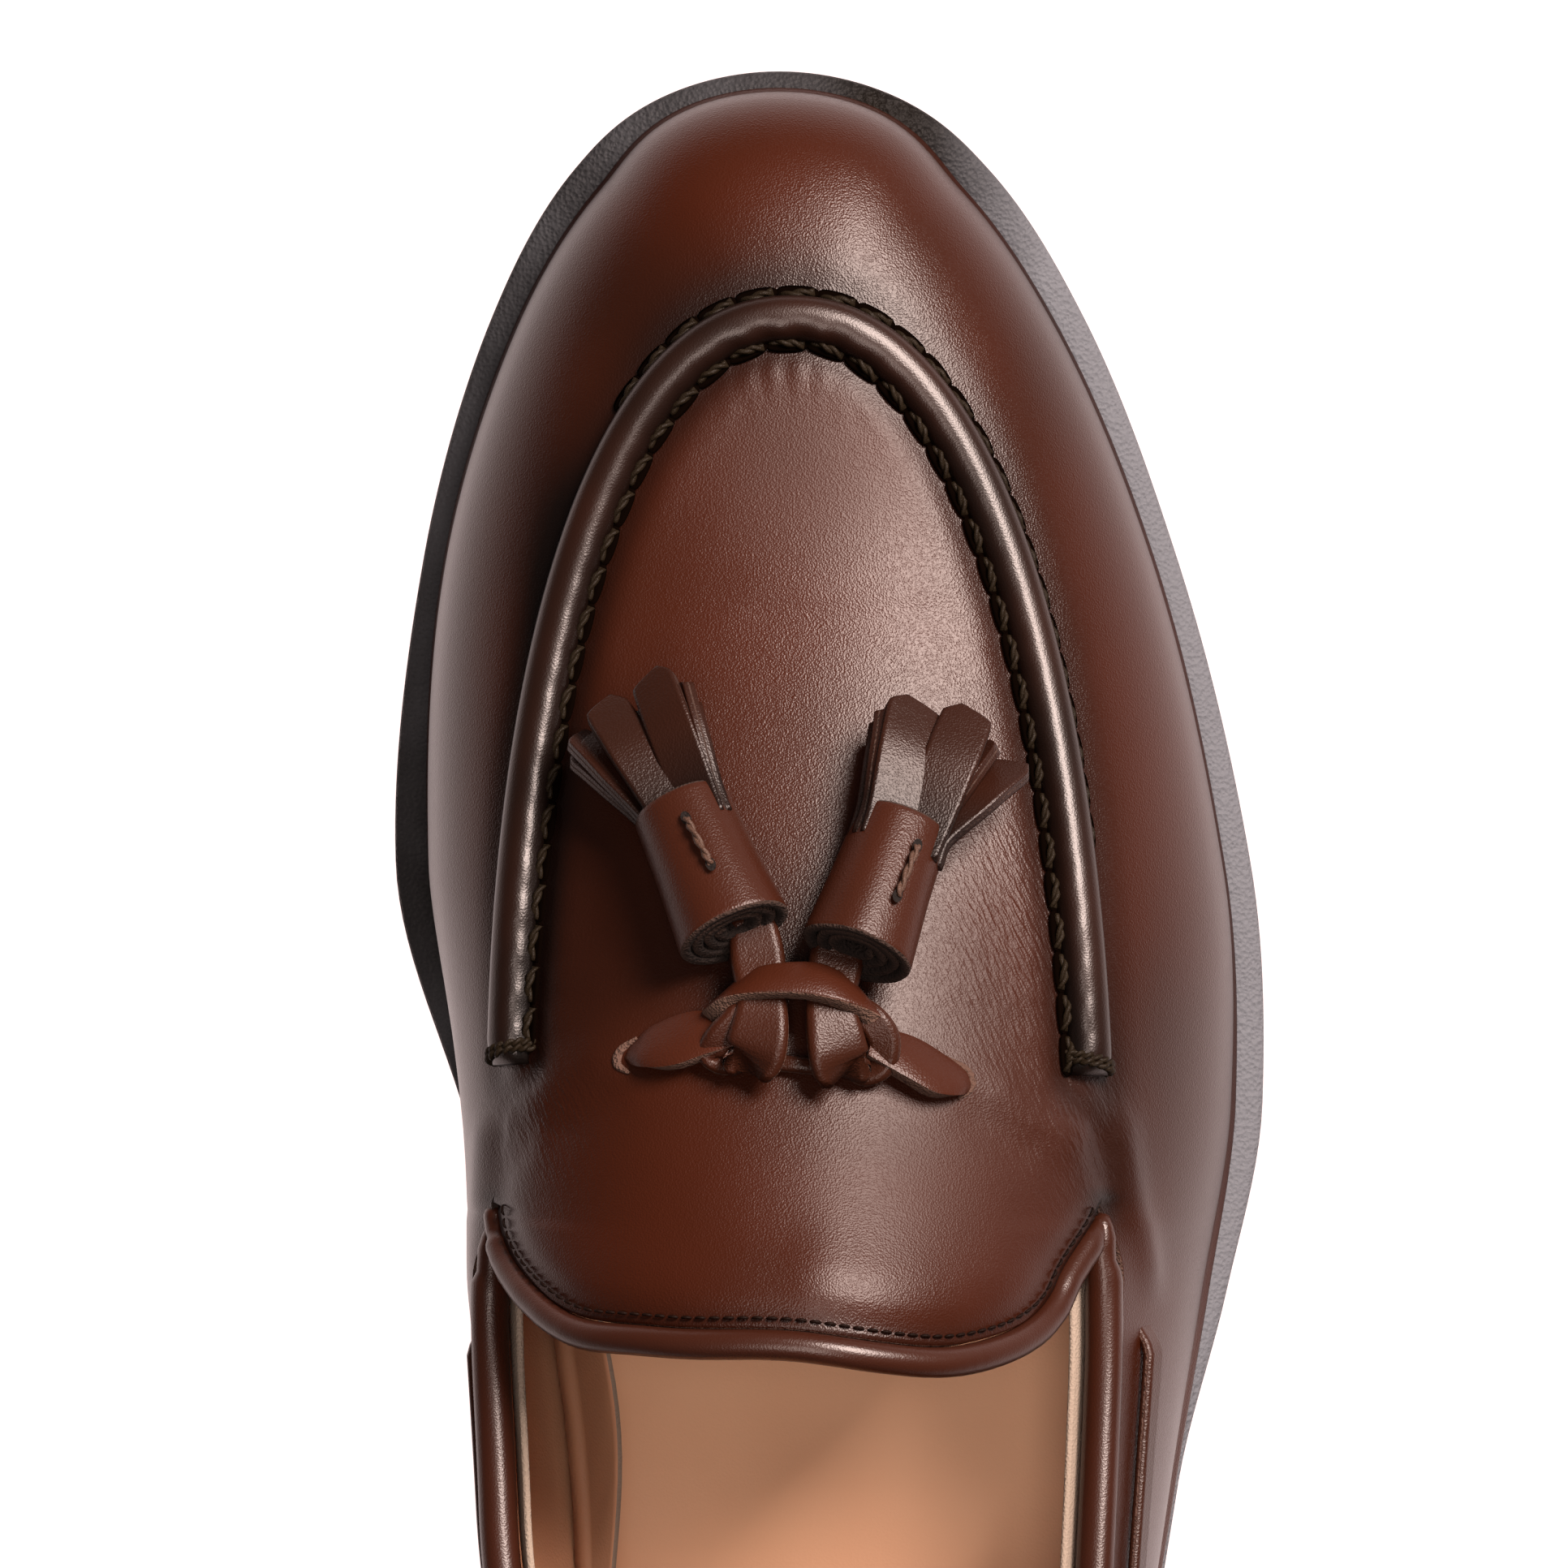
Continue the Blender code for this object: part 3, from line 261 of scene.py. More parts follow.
@dataclass
class Last:
    """The form that gives every leather piece its place, the same as the solids'."""

    sole_length: float = 0.294
    ball_width: float = 0.1074
    sole_thickness: float = 0.0077
    waist_thickness: float = 0.0055
    toe_spring: float = 0.0085
    heel_height: float = 0.0205
    sole_margin: float = 0.0050
    heel_centre: float = 0.0010
    toe_swing: float = 0.0072
    gap: float = 0.0003
    wall: float = 0.0020
    instep_rise: float = 0.0960
    toe_pole: float = 0.0350
    heel_pole: float = 0.0290
    pole_blend: float = 0.0100
    throat_from_toe: float = 0.1363
    seam_end_from_toe: float = 0.1218
    collar_from_seat: float = 0.0560
    ridge_shift: float = 0.0021
    apron_width: float = 0.0680
    apron_from_toe: float = 0.0318
    taper_power: float = 2.4
    round_power: float = 2.15
    tongue_length: float = 0.0153
    tongue_slant: float = 0.055
    tongue_power_medial: float = 2.9
    tongue_power_lateral: float = 4.2
    corner_cut: float = 0.0042
    tongue_bends: tuple[Triple, ...] = (
        (0.0013, -0.76, 0.16),
        (-0.00165, -0.05, 0.36),
    )
    shift: float = field(init=False, default=0.0)
    tree: BVHTree = field(init=False, default=None)

    def __post_init__(self) -> None:
        """Centres the sole on its box and samples the surface for drops from above."""
        across = [self.raw_outline(2 * math.pi * k / 720).x for k in range(720)]
        self.shift = -(min(across) + max(across)) / 2
        turns = [2 * math.pi * k / 360 for k in range(360)]
        shares = [j / 60 for j in range(61)]
        rays = [self.ray(t) for t in turns]
        points = [self.on_ray(ray, s) for ray in rays for s in shares]
        wide = len(shares)
        faces = []
        for n in range(len(turns)):
            m = (n + 1) % len(turns)
            for j in range(wide - 1):
                faces.append((n * wide + j, m * wide + j, m * wide + j + 1, n * wide + j + 1))
        self.tree = BVHTree.FromPolygons(points, faces)

    def along(self, y: float) -> float:
        """Share of the sole's length, from the heel."""
        return y / self.sole_length + 0.5

    def from_toe(self, distance: float) -> float:
        """Place along the shoe, a distance behind the toe's tip."""
        return self.sole_length / 2 - distance

    def raw_outline(self, turn: float) -> Vector:
        """Sole's outline before centring. Turn 0 is the heel, pi the toe, below pi lateral."""
        along = (1 - math.cos(turn)) / 2
        column = "lateral" if math.sin(turn) >= 0 else "medial"
        half = self.ball_width * row_value(SOLE_ROWS, column, along)
        axis = self.heel_centre - self.toe_swing * along
        y = along * self.sole_length - self.sole_length / 2
        return Vector((axis + half * math.sin(turn), y, 0))

    def outline(self, turn: float, inset: float = 0.0) -> Vector:
        """Point of the sole's outline, moved square to it towards the inside."""
        here = self.raw_outline(turn)
        along = (self.raw_outline(turn + 0.004) - self.raw_outline(turn - 0.004)).normalized()
        return here + Vector((self.shift, 0, 0)) + Vector((-along.y, along.x, 0)) * inset

    def margin(self, turn: float) -> float:
        """Width of sole that shows outside the upper."""
        column = "margin_lateral" if math.sin(turn) >= 0 else "margin_medial"
        return self.sole_margin * row_value(SOLE_ROWS, column, (1 - math.cos(turn)) / 2)

    def seat(self, y: float) -> float:
        """Height of the feather line."""
        along = self.along(y)
        lift = self.heel_height - self.sole_thickness + self.waist_thickness
        rise = row_value(HEIGHT_ROWS, "heel_lift", along) * lift
        spring = row_value(HEIGHT_ROWS, "toe_lift", along) * self.toe_spring
        return self.sole_thickness + self.gap + rise + spring

    def sole_depth(self, y: float) -> float:
        """Thickness of the outsole."""
        share = row_value(HEIGHT_ROWS, "tread", self.along(y))
        return self.waist_thickness + share * (self.sole_thickness - self.waist_thickness)

    def ridge(self, y: float) -> Vector:
        """Point of the ridge over toe, instep and heel."""
        along = self.along(y)
        axis = self.heel_centre - self.toe_swing * along
        height = self.sole_thickness + row_value(HEIGHT_ROWS, "ridge", along) * self.instep_rise
        return Vector((self.shift - self.ridge_shift + axis * 0.5, y, height))

    def feather(self, turn: float) -> Vector:
        """Point of the feather line."""
        point = self.outline(turn, self.margin(turn))
        point.z = self.seat(point.y)
        return point

    def pole(self, y: float) -> float:
        """Where the ray that starts at y meets the ridge."""
        front, back = self.from_toe(self.toe_pole), self.heel_pole - self.sole_length / 2
        blend = self.pole_blend
        if y >= front + blend:
            return front
        if y > front - blend:
            return front - (front + blend - y) ** 2 / (4 * blend)
        if y <= back - blend:
            return back
        if y < back + blend:
            return back + (y - back + blend) ** 2 / (4 * blend)
        return y

    def ray(self, turn: float) -> Ray:
        """Control points of the ray from the feather line to the ridge."""
        foot = self.feather(turn)
        top = self.ridge(self.pole(foot.y))
        side = "l" if math.sin(turn) >= 0 else "m"
        along = self.along(foot.y)
        bulge = row_value(FORM_ROWS, "bulge_" + side, along) * self.ball_width
        rise = row_value(FORM_ROWS, "rise_" + side, along)
        crown = row_value(FORM_ROWS, "crown_" + side, along)
        flat = Vector((foot.x - top.x, foot.y - top.y, 0))
        wall = foot + flat.normalized() * bulge + Vector((0, 0, rise * (top.z - foot.z)))
        level = top + flat * crown
        slope = (self.ridge(top.y + MM).z - self.ridge(top.y - MM).z) / (2 * MM)
        level.z = top.z + slope * (level.y - top.y)
        return foot, wall, level, top

    @staticmethod
    def on_ray(ray: Ray, share: float) -> Vector:
        """Point of a ray at a share from foot (0) to ridge (1)."""
        a, b, c, d = ray
        s, r = share, 1 - share
        return a * r**3 + b * 3 * r * r * s + c * 3 * r * s * s + d * s**3

    def normal(self, turn: float, share: float) -> Vector:
        """Outward normal of the last."""
        share = min(share, 0.985)
        ahead, behind = self.ray(turn + 0.01), self.ray(turn - 0.01)
        forward = self.on_ray(ahead, share) - self.on_ray(behind, share)
        here = self.ray(turn)
        upward = self.on_ray(here, share + 0.01) - self.on_ray(here, share - 0.01)
        return forward.cross(upward).normalized()

    def upward(self, ray: Ray, share: float) -> Vector:
        """Direction up along a ray."""
        return (self.on_ray(ray, share + 0.01) - self.on_ray(ray, share - 0.01)).normalized()

    def apron_excess(self, x: float, y: float) -> float:
        """Below 0 inside the apron's outline, above 0 outside it."""
        start, end = self.from_toe(self.throat_from_toe), self.from_toe(self.apron_from_toe)
        length = max(0.0, (y - start) / (end - start))
        across = abs(x - self.ridge(y).x) / (self.apron_width / 2)
        return across**self.round_power + length**self.taper_power - 1

    def apron_share(self, ray: Ray) -> float:
        """Share of a ray at which it crosses the apron's outline."""
        return bisect(0.05, 0.999, lambda share: self.apron_excess(*self.on_ray(ray, share).xy) > 0)

    def collar_height(self, y: float) -> float:
        """Height of the topline."""
        return self.seat(y) + self.collar_from_seat * row_value(COLLAR_ROWS, "height", self.along(y))

    def collar_share(self, ray: Ray) -> float:
        """Share of a ray at which it reaches the topline."""

        def below(share: float) -> bool:
            """Whether the ray is still under the topline."""
            point = self.on_ray(ray, share)
            return point.z < self.collar_height(point.y)

        return bisect(0.05, 0.97, below)

    def turn_at(self, y: float, side: Side) -> float:
        """Turn of the ray whose foot is at y."""
        sign = side.value
        turn = bisect(0.2, math.pi - 0.2, lambda t: self.feather(t * sign).y < y)
        return turn if side is Side.LATERAL else 2 * math.pi - turn

    def drop(self, x: float, y: float) -> tuple[Vector, Vector]:
        """Point and normal of the last under a place, seen from above."""
        place, normal, _, _ = self.tree.ray_cast(Vector((x, y, 0.2)), Vector((0, 0, -1)))
        return place, normal if normal.z > 0 else -normal

    def over(self, x: float, y: float, height: float) -> Vector:
        """Point at a height off the surface, straight above a place."""
        point, normal = self.drop(x, y)
        return point + Vector((0, 0, height / max(normal.z, 0.3)))

    def tongue_share(self, across: float) -> float:
        """Share of the tongue's edge at a place across it, -1 to 1 of its half width."""
        power = self.tongue_power_lateral if across > 0 else self.tongue_power_medial
        return math.acos(-math.copysign(abs(across) ** (power / 2), across)) / math.pi

    def tongue_edge(self, share: float) -> Pair:
        """Tongue's edge in plan, from the medial (0) to the lateral (1) corner of the throat."""
        turn = math.pi * share
        throat, half = self.from_toe(self.throat_from_toe), self.apron_width / 2
        power = self.tongue_power_lateral if share > 0.5 else self.tongue_power_medial
        across = math.copysign(abs(math.cos(turn)) ** (2 / power), -math.cos(turn)) * half
        full = math.sin(turn) ** (2 / power)
        depth = full * (self.tongue_length + self.tongue_slant * across)
        place = across / half
        depth += sum(size * math.exp(-(((place - at) / wide) ** 2)) for size, at, wide in self.tongue_bends)
        cut = self.corner_cut * smoothstep(0.0, 0.55, full) * smoothstep(0.3, 0.8, place)
        return self.ridge(throat).x + across - float(cut), throat - depth


@dataclass
class Skin:
    """Outer surface of the upper as a fine grid, with the lines that other pieces follow."""

    last: Last
    stations: int = 260
    crowding: float = 0.45
    wall_rows: int = 28
    apron_rows: int = 24
    tongue_rows: int = 22
    side_turn: float = math.radians(38)

    def __post_init__(self) -> None:
        """Takes the rays' turns, with one at each throat corner and seam end."""
        last = self.last
        turns = []
        for k in range(self.stations + 1):
            even = k / self.stations
            crowded = self.crowding * math.sin(2 * math.pi * even) / (2 * math.pi)
            turns.append(math.pi * (even + crowded))
        for distance in (last.throat_from_toe, last.seam_end_from_toe):
            exact = last.turn_at(last.from_toe(distance), Side.LATERAL)
            nearest = min(range(1, self.stations), key=lambda k: abs(turns[k] - exact))
            turns[nearest] = exact
            if distance == last.throat_from_toe:
                self.throat = nearest
            else:
                self.seam_end = nearest
        self.turns = turns
        self.loop = turns + [2 * math.pi - t for t in reversed(turns[1:-1])]
        self.rays = [last.ray(t) for t in self.loop]

    def index(self, n: int) -> int:
        """Station of a ray, the same for both sides."""
        return n if n <= self.stations else len(self.loop) - n

    def split(self, n: int) -> float:
        """Share of a ray at which wall gives way to apron, or ends at the topline."""
        k, ray = self.index(n), self.rays[n]
        if k >= self.seam_end:
            return self.last.apron_share(ray)
        if k <= self.throat:
            return self.last.collar_share(ray)
        mix = (k - self.throat) / (self.seam_end - self.throat)
        return self.last.collar_share(ray) * (1 - mix) + self.last.apron_share(ray) * mix

    def topline(self) -> list[Frame]:
        """Frames along the topline, from the lateral to the medial throat corner."""
        last = self.last
        order = list(range(self.throat, 0, -1)) + [0]
        order += [len(self.loop) - k for k in range(1, self.throat + 1)]
        frames = []
        for n in order:
            ray, share = self.rays[n], self.split(n)
            normal = last.normal(self.loop[n], share)
            frames.append(Frame(last.on_ray(ray, share), normal, last.upward(ray, share)))
        return frames

    def seam(self, shift: float = 0.0) -> list[Frame]:
        """Frames along the apron's outline, from the lateral end round the toe, moved across it."""
        order = list(range(self.seam_end, len(self.loop) - self.seam_end + 1))
        places = []
        for n in order:
            share = self.last.apron_share(self.rays[n])
            normal = self.last.normal(self.loop[n], share)
            places.append((self.last.on_ray(self.rays[n], share), normal))
        frames = []
        for k, (point, normal) in enumerate(places):
            before, after = places[max(k - 1, 0)][0], places[min(k + 1, len(places) - 1)][0]
            across = (after - before).cross(normal).normalized()
            frames.append(Frame(point + across * shift, across, normal))
        return frames

    def tongue_outline(self, columns: int, inset: float = 0.0) -> list[Vector]:
        """Plan points of the tongue's edge between its corners on the topline."""
        last = self.last
        corners = []
        for n, side in ((len(self.loop) - self.throat, Side.MEDIAL), (self.throat, Side.LATERAL)):
            point = last.on_ray(self.rays[n], self.split(n))
            corners.append(point.x - last.ridge(point.y).x - side.value * last.apron_width / 2)
        side = self.side_turn / math.pi
        down = [side * (q / self.tongue_rows) ** 1.6 for q in range(self.tongue_rows + 1)]
        left = math.cos(self.side_turn) ** (2 / last.tongue_power_medial)
        right = math.cos(self.side_turn) ** (2 / last.tongue_power_lateral)
        end = [last.tongue_share(-left + (left + right) * k / columns) for k in range(1, columns)]
        places = []
        for share in down + end + [1 - s for s in reversed(down)]:
            x, y = last.tongue_edge(share)
            places.append(Vector((x + corners[0] * (1 - share) + corners[1] * share, y, 0)))
        if not inset:
            return places
        moved = []
        for k, place in enumerate(places):
            run = direction(places, k)
            moved.append(place + Vector((-run.y, run.x, 0)).normalized() * inset)
        return moved

    def build(self) -> tuple[np.ndarray, Faces]:
        """Points and faces of vamp, quarters, apron and tongue."""
        points: list[Vector] = []
        faces: Faces = []
        keys: dict[object, int] = {}
        last = self.last

        def place(key: object, point: Vector) -> int:
            """Index of a point, shared by key."""
            if key not in keys:
                keys[key] = len(points)
                points.append(point)
            return keys[key]

        front = last.from_toe(last.toe_pole)
        rows = []
        for n, ray in enumerate(self.rays):
            split = self.split(n)
            easing = [(1 - math.cos(math.pi * j / self.wall_rows)) / 2 for j in range(self.wall_rows + 1)]
            column = [place(("w", n, j), last.on_ray(ray, split * e)) for j, e in enumerate(easing)]
            if self.index(n) >= self.throat:
                for j in range(1, self.apron_rows):
                    share = split + (1 - split) * (j / self.apron_rows) ** 1.35
                    column.append(place(("a", n, j), last.on_ray(ray, share)))
                key = "pole" if ray[3].y >= front else ("r", self.index(n))
                column.append(place(key, ray[3]))
            rows.append(column)
        for n, column in enumerate(rows):
            after = rows[(n + 1) % len(rows)]
            for j in range(min(len(column), len(after)) - 1):
                corners = [column[j], after[j], after[j + 1], column[j + 1]]
                faces.append(tuple(dict.fromkeys(corners)))
        self._tongue(rows, points, faces)
        return np.array([tuple(p) for p in points]), faces

    def _tongue(self, rows: list[list[int]], points: list[Vector], faces: list) -> None:
        """Adds the tongue's patch between the throat and its round edge."""
        medial, lateral = rows[len(rows) - self.throat], rows[self.throat]
        across = medial[self.wall_rows :] + lateral[-2 : self.wall_rows - 1 : -1]
        count = len(across) - 1
        edge = self.tongue_outline(count)
        end = edge[self.tongue_rows : self.tongue_rows + count + 1]
        depth = edge[0].y - end[0].y
        grid = [across]
        for q in range(1, self.tongue_rows + 1):
            left, right = edge[q], edge[-1 - q]
            mix = (edge[0].y - left.y) / depth
            row = []
            for k in range(count + 1):
                share = k / count
                base = points[across[k]].lerp(end[k], mix)
                base += (left - points[across[0]].lerp(end[0], mix)) * (1 - share)
                base += (right - points[across[-1]].lerp(end[-1], mix)) * share
                row.append(len(points))
                points.append(self.last.drop(base.x, base.y)[0])
            grid.append(row)
        for above, below in zip(grid, grid[1:]):
            for k in range(count):
                faces.append((above[k], above[k + 1], below[k + 1], below[k]))


class Relief:
    """Soft ridges and troughs laid over a surface, in the shoe's own sizes."""

    samples: int = 6
    end_fade: float = 2.2

    def __init__(self, points: np.ndarray) -> None:
        """Starts from the surface's points, with no offset."""
        self.points = points
        self.offset = np.zeros(len(points))

    def near(self, line: Sequence[Sequence[float]], width: float) -> np.ndarray:
        """Nearness to a line in plan, fading over a width and towards its ends, from millimetres."""
        place = self.points[:, :2]
        keys = np.array(rows_through(np.array(line) * MM, self.samples * len(line)))
        best = np.full(len(place), FAR)
        run = np.zeros(len(place))
        for k, (a, b) in enumerate(zip(keys, keys[1:])):
            ab = b - a
            t = np.clip(((place - a) @ ab) / max(ab @ ab, TINY), 0, 1)
            far = np.linalg.norm(place - (a + t[:, None] * ab), axis=1)
            closer = far < best
            best = np.where(closer, far, best)
            run = np.where(closer, (k + t) / (len(keys) - 1), run)
        return hump(best, 0.0, width) * np.clip(np.sin(np.pi * run) * self.end_fade, 0, 1)

    def add(self, height: float, share: np.ndarray) -> None:
        """Raises the surface by a height in millimetres times a share for each point."""
        self.offset += height * MM * share


class Oval(NamedTuple):
    """A soft oval patch of the upper in plan: strength, centre and radii in millimetres."""

    strength: float
    x: float
    y: float
    wide: float
    long: float


class Crease(NamedTuple):
    """A crease of the upper: its line in plan, half width and height in millimetres."""

    line: tuple[Pair, ...]
    width: float
    height: float


def hump(values: np.ndarray, centre: float, width: float) -> np.ndarray:
    """Soft band, 1 where metres are at a centre in millimetres, fading over a width."""
    return np.exp(-(((values - centre * MM) / (width * MM)) ** 2))


def ovals(points: np.ndarray, patches: Sequence[Sequence[float]]) -> np.ndarray:
    """Sum of soft oval patches at points."""
    x, y = points[:, 0], points[:, 1]
    spots = [Oval(*patch) for patch in patches]
    return sum(spot.strength * hump(x, spot.x, spot.wide) * hump(y, spot.y, spot.long) for spot in spots)


def grid_faces(rows: int, size: int, closed: bool) -> Faces:
    """Quads between rows of equally many points, each row a ring or open."""
    faces = []
    for k in range(rows - 1):
        for n in range(size if closed else size - 1):
            m = (n + 1) % size
            faces.append((k * size + n, k * size + m, (k + 1) * size + m, (k + 1) * size + n))
    return faces


def build_mesh(
    name: str,
    points: Sequence[Sequence[float]],
    faces: Sequence[Sequence[int]],
    finishes: Sequence["Finish"],
    slots: Sequence[int] | None = None,
    recalculate: bool = True,
) -> Piece:
    """A smooth mesh object with its finishes.

    Args:
        name: Name of the object and its mesh.
        points: Vertex positions in the shoe's frame.
        faces: Vertex indices of each face.
        finishes: The object's finishes, by slot.
        slots: Material slot of each face, 0 for all where left out.
        recalculate: Whether normals are made to face outwards.

    Returns:
        The new object, linked to the scene.
    """
    mesh = bpy.data.meshes.new(name)
    mesh.from_pydata([tuple(p) for p in points], [], [tuple(f) for f in faces])
    for finish in finishes:
        mesh.materials.append(finish.material())
    if slots is not None:
        mesh.polygons.foreach_set("material_index", list(slots))
    if recalculate:
        grid = bmesh.new()
        grid.from_mesh(mesh)
        bmesh.ops.recalc_face_normals(grid, faces=grid.faces)
        grid.to_mesh(mesh)
        grid.free()
    mesh.shade_smooth()
    made = bpy.data.objects.new(name, mesh)
    bpy.context.scene.collection.objects.link(made)
    return made


def attribute(made: Piece, name: str, values: np.ndarray | float) -> None:
    """Stores a number for each vertex, or one for all, under a name for the materials."""
    layer = made.data.attributes.new(name, "FLOAT", "POINT")
    layer.data.foreach_set("value", np.full(len(made.data.vertices), values, np.float32))


def modified(made: Piece, name: str, kind: str, **settings: object) -> None:
    """Adds a modifier with its settings."""
    modifier = made.modifiers.new(name, kind)
    for key, value in settings.items():
        setattr(modifier, key, value)


def applied(made: Piece) -> Piece:
    """The object with its modifiers applied, smooth."""
    graph = bpy.context.evaluated_depsgraph_get()
    mesh = bpy.data.meshes.new_from_object(made.evaluated_get(graph))
    made.modifiers.clear()
    made.data = mesh
    mesh.shade_smooth()
    return made


def settle(made: Piece, slot: str, *nodes: str) -> None:
    """Puts a finished piece on the shoe and hides the solids that it stands for."""
    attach(made, "root")
    if nodes:
        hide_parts(*nodes)


def sweep(
    name: str,
    frames: Sequence[Frame],
    profile: Callable[[int], Sequence[Pair]],
    finishes: Sequence["Finish"],
    slot: Callable[[int], int] | None = None,
) -> Piece:
    """A closed solid along frames.

    Args:
        name: Name of the object.
        frames: Places along the path.
        profile: Section at a frame's number, as (across, up) pairs, of one length for all.
        finishes: The object's finishes, by slot.
        slot: Material slot of the section's n-th side, 0 where left out.

    Returns:
        The new object.
    """
    points: list[Vector] = []
    for k, frame in enumerate(frames):
        points += [frame.point + frame.across * a + frame.up * u for a, u in profile(k)]
    size = len(profile(0))
    faces = grid_faces(len(frames), size, closed=True)
    slots = [slot(n) if slot else 0 for _ in frames[1:] for n in range(size)]
    faces += [tuple(range(size)), tuple(range(len(points) - size, len(points)))]
    slots += [slots[0], slots[0]]
    return build_mesh(name, points, faces, finishes, slots)


def circle(radius: float, sides: int, flat: float = 1.0) -> Section:
    """Round section with a height that is a share of its width."""
    turns = [2 * math.pi * s / sides for s in range(sides)]
    return [(radius * math.cos(turn), radius * flat * math.sin(turn)) for turn in turns]


def strap_profile(width: float, thickness: float, round_share: float = 0.42) -> Section:
    """Section of a flat strap with softened corners, from its lower left corner round."""
    w, t = width / 2, thickness / 2
    r = thickness * round_share
    corners = [(-w + r, -t + r, 180), (w - r, -t + r, 270), (w - r, t - r, 0), (-w + r, t - r, 90)]
    section = []
    for n, (x, y, start) in enumerate(corners):
        for step in (0, 45, 90):
            angle = math.radians(start + step)
            section.append((x + r * math.cos(angle), y + r * math.sin(angle)))
        if n in (0, 2):
            flat = x * FLAT_SHARE
            section += [(flat, math.copysign(t, y)), (-flat, math.copysign(t, y))]
    return section


def strap_slot(n: int) -> int:
    """Material slot of a strap section's side: 1 for the cut edges, 0 for the faces."""
    return 1 if n in STRAP_EDGES else 0


def patch(name: str, grid: Sequence[Sequence[Vector]], thickness: float) -> Piece:
    """A piece of lace leather through rows of points, with its thickness below and raw rims."""
    points = [point for row in grid for point in row]
    faces = grid_faces(len(grid), len(grid[0]), closed=False)
    made = build_mesh(name, points, faces, [LACE, RAW], recalculate=False)
    if sum(face.normal.z * face.area for face in made.data.polygons) < 0:
        made.data.flip_normals()
    wall = {"thickness": thickness, "offset": -1, "use_even_offset": True, "material_offset_rim": 1}
    modified(made, "body", "SOLIDIFY", **wall)
    corners = {"segments": 2, "limit_method": "ANGLE", "angle_limit": math.radians(50)}
    modified(made, "soft", "BEVEL", width=thickness * 0.2, **corners)
    return applied(made)


def joined(name: str, parts: Sequence[Piece]) -> Piece:
    """One object from several with the same materials."""
    bpy.ops.object.select_all(action="DESELECT")
    for part in parts:
        part.select_set(True)
    bpy.context.view_layer.objects.active = parts[0]
    bpy.ops.object.join()
    parts[0].name = name
    parts[0].data.name = name
    return parts[0]


def preset(sockets: bpy.types.NodeInputs, values: dict[int | str, object]) -> None:
    """Sets the constants of sockets, by name or place."""
    for key, value in values.items():
        sockets[key].default_value = value


def added(
    tree: bpy.types.NodeTree, kind: str, inputs: dict[int | str, object] | None = None, **settings: object
) -> bpy.types.Node:
    """A new node.

    Args:
        tree: The tree that it joins.
        kind: Its type.
        inputs: Constants of its sockets, by name or place.
        settings: Its own settings, such as its operation.

    Returns:
        The node.
    """
    node = tree.nodes.new(kind)
    for key, value in settings.items():
        setattr(node, key, value)
    preset(node.inputs, inputs or {})
    return node


class NodeGroups:
    """Shader node groups shared by the finishes."""

    @staticmethod
    def grain() -> bpy.types.NodeTree:
        """Pebble grain of smooth leather: a height from cells, fine noise and drawn folds."""
        name = "leather_grain"
        if name in bpy.data.node_groups:
            return bpy.data.node_groups[name]
        tree = bpy.data.node_groups.new(name, "ShaderNodeTree")
        for label, way in (
            ("Cells", "INPUT"),
            ("Wrinkle", "INPUT"),
            ("Height", "OUTPUT"),
            ("Mottle", "OUTPUT"),
        ):
            tree.interface.new_socket(label, in_out=way, socket_type="NodeSocketFloat")
        enter, leave = added(tree, "NodeGroupInput").outputs, added(tree, "NodeGroupOutput").inputs
        place = added(tree, "ShaderNodeTexCoord").outputs["Object"]
        warp = added(tree, "ShaderNodeTexNoise", {"Scale": 220})
        bent = added(tree, "ShaderNodeVectorMath", {1: (0.0006,) * 3}, operation="MULTIPLY_ADD")
        cells = added(tree, "ShaderNodeTexVoronoi", {"Smoothness": 0.45}, feature="SMOOTH_F1")
        fine = added(tree, "ShaderNodeTexNoise", {"Scale": 4200, "Detail": 3})
        drawn = {"Rotation": (0, 0, math.radians(115)), "Scale": (1.0, 0.20, 1.0)}
        stretch = added(tree, "ShaderNodeMapping", drawn, vector_type="TEXTURE")
        folds = added(tree, "ShaderNodeTexNoise", {"Scale": 480, "Detail": 1.0})
        crease = added(tree, "ShaderNodeMath", operation="MULTIPLY")
        first = added(tree, "ShaderNodeMath", {1: 0.30}, operation="MULTIPLY_ADD")
        total = added(tree, "ShaderNodeMath", {1: 6.0}, operation="MULTIPLY_ADD")
        mottle = added(tree, "ShaderNodeTexNoise", {"Scale": 28, "Detail": 3})
        for source, target in (
            (place, warp.inputs["Vector"]),
            (warp.outputs["Color"], bent.inputs[0]),
            (place, bent.inputs[2]),
            (bent.outputs[0], cells.inputs["Vector"]),
            (enter["Cells"], cells.inputs["Scale"]),
            (place, fine.inputs["Vector"]),
            (place, stretch.inputs["Vector"]),
            (stretch.outputs[0], folds.inputs["Vector"]),
            (place, mottle.inputs["Vector"]),
            (fine.outputs["Fac"], first.inputs[0]),
            (cells.outputs["Distance"], first.inputs[2]),
            (folds.outputs["Fac"], crease.inputs[0]),
            (enter["Wrinkle"], crease.inputs[1]),
            (crease.outputs[0], total.inputs[0]),
            (first.outputs[0], total.inputs[2]),
            (total.outputs[0], leave["Height"]),
            (mottle.outputs["Fac"], leave["Mottle"]),
        ):
            tree.links.new(source, target)
        return tree


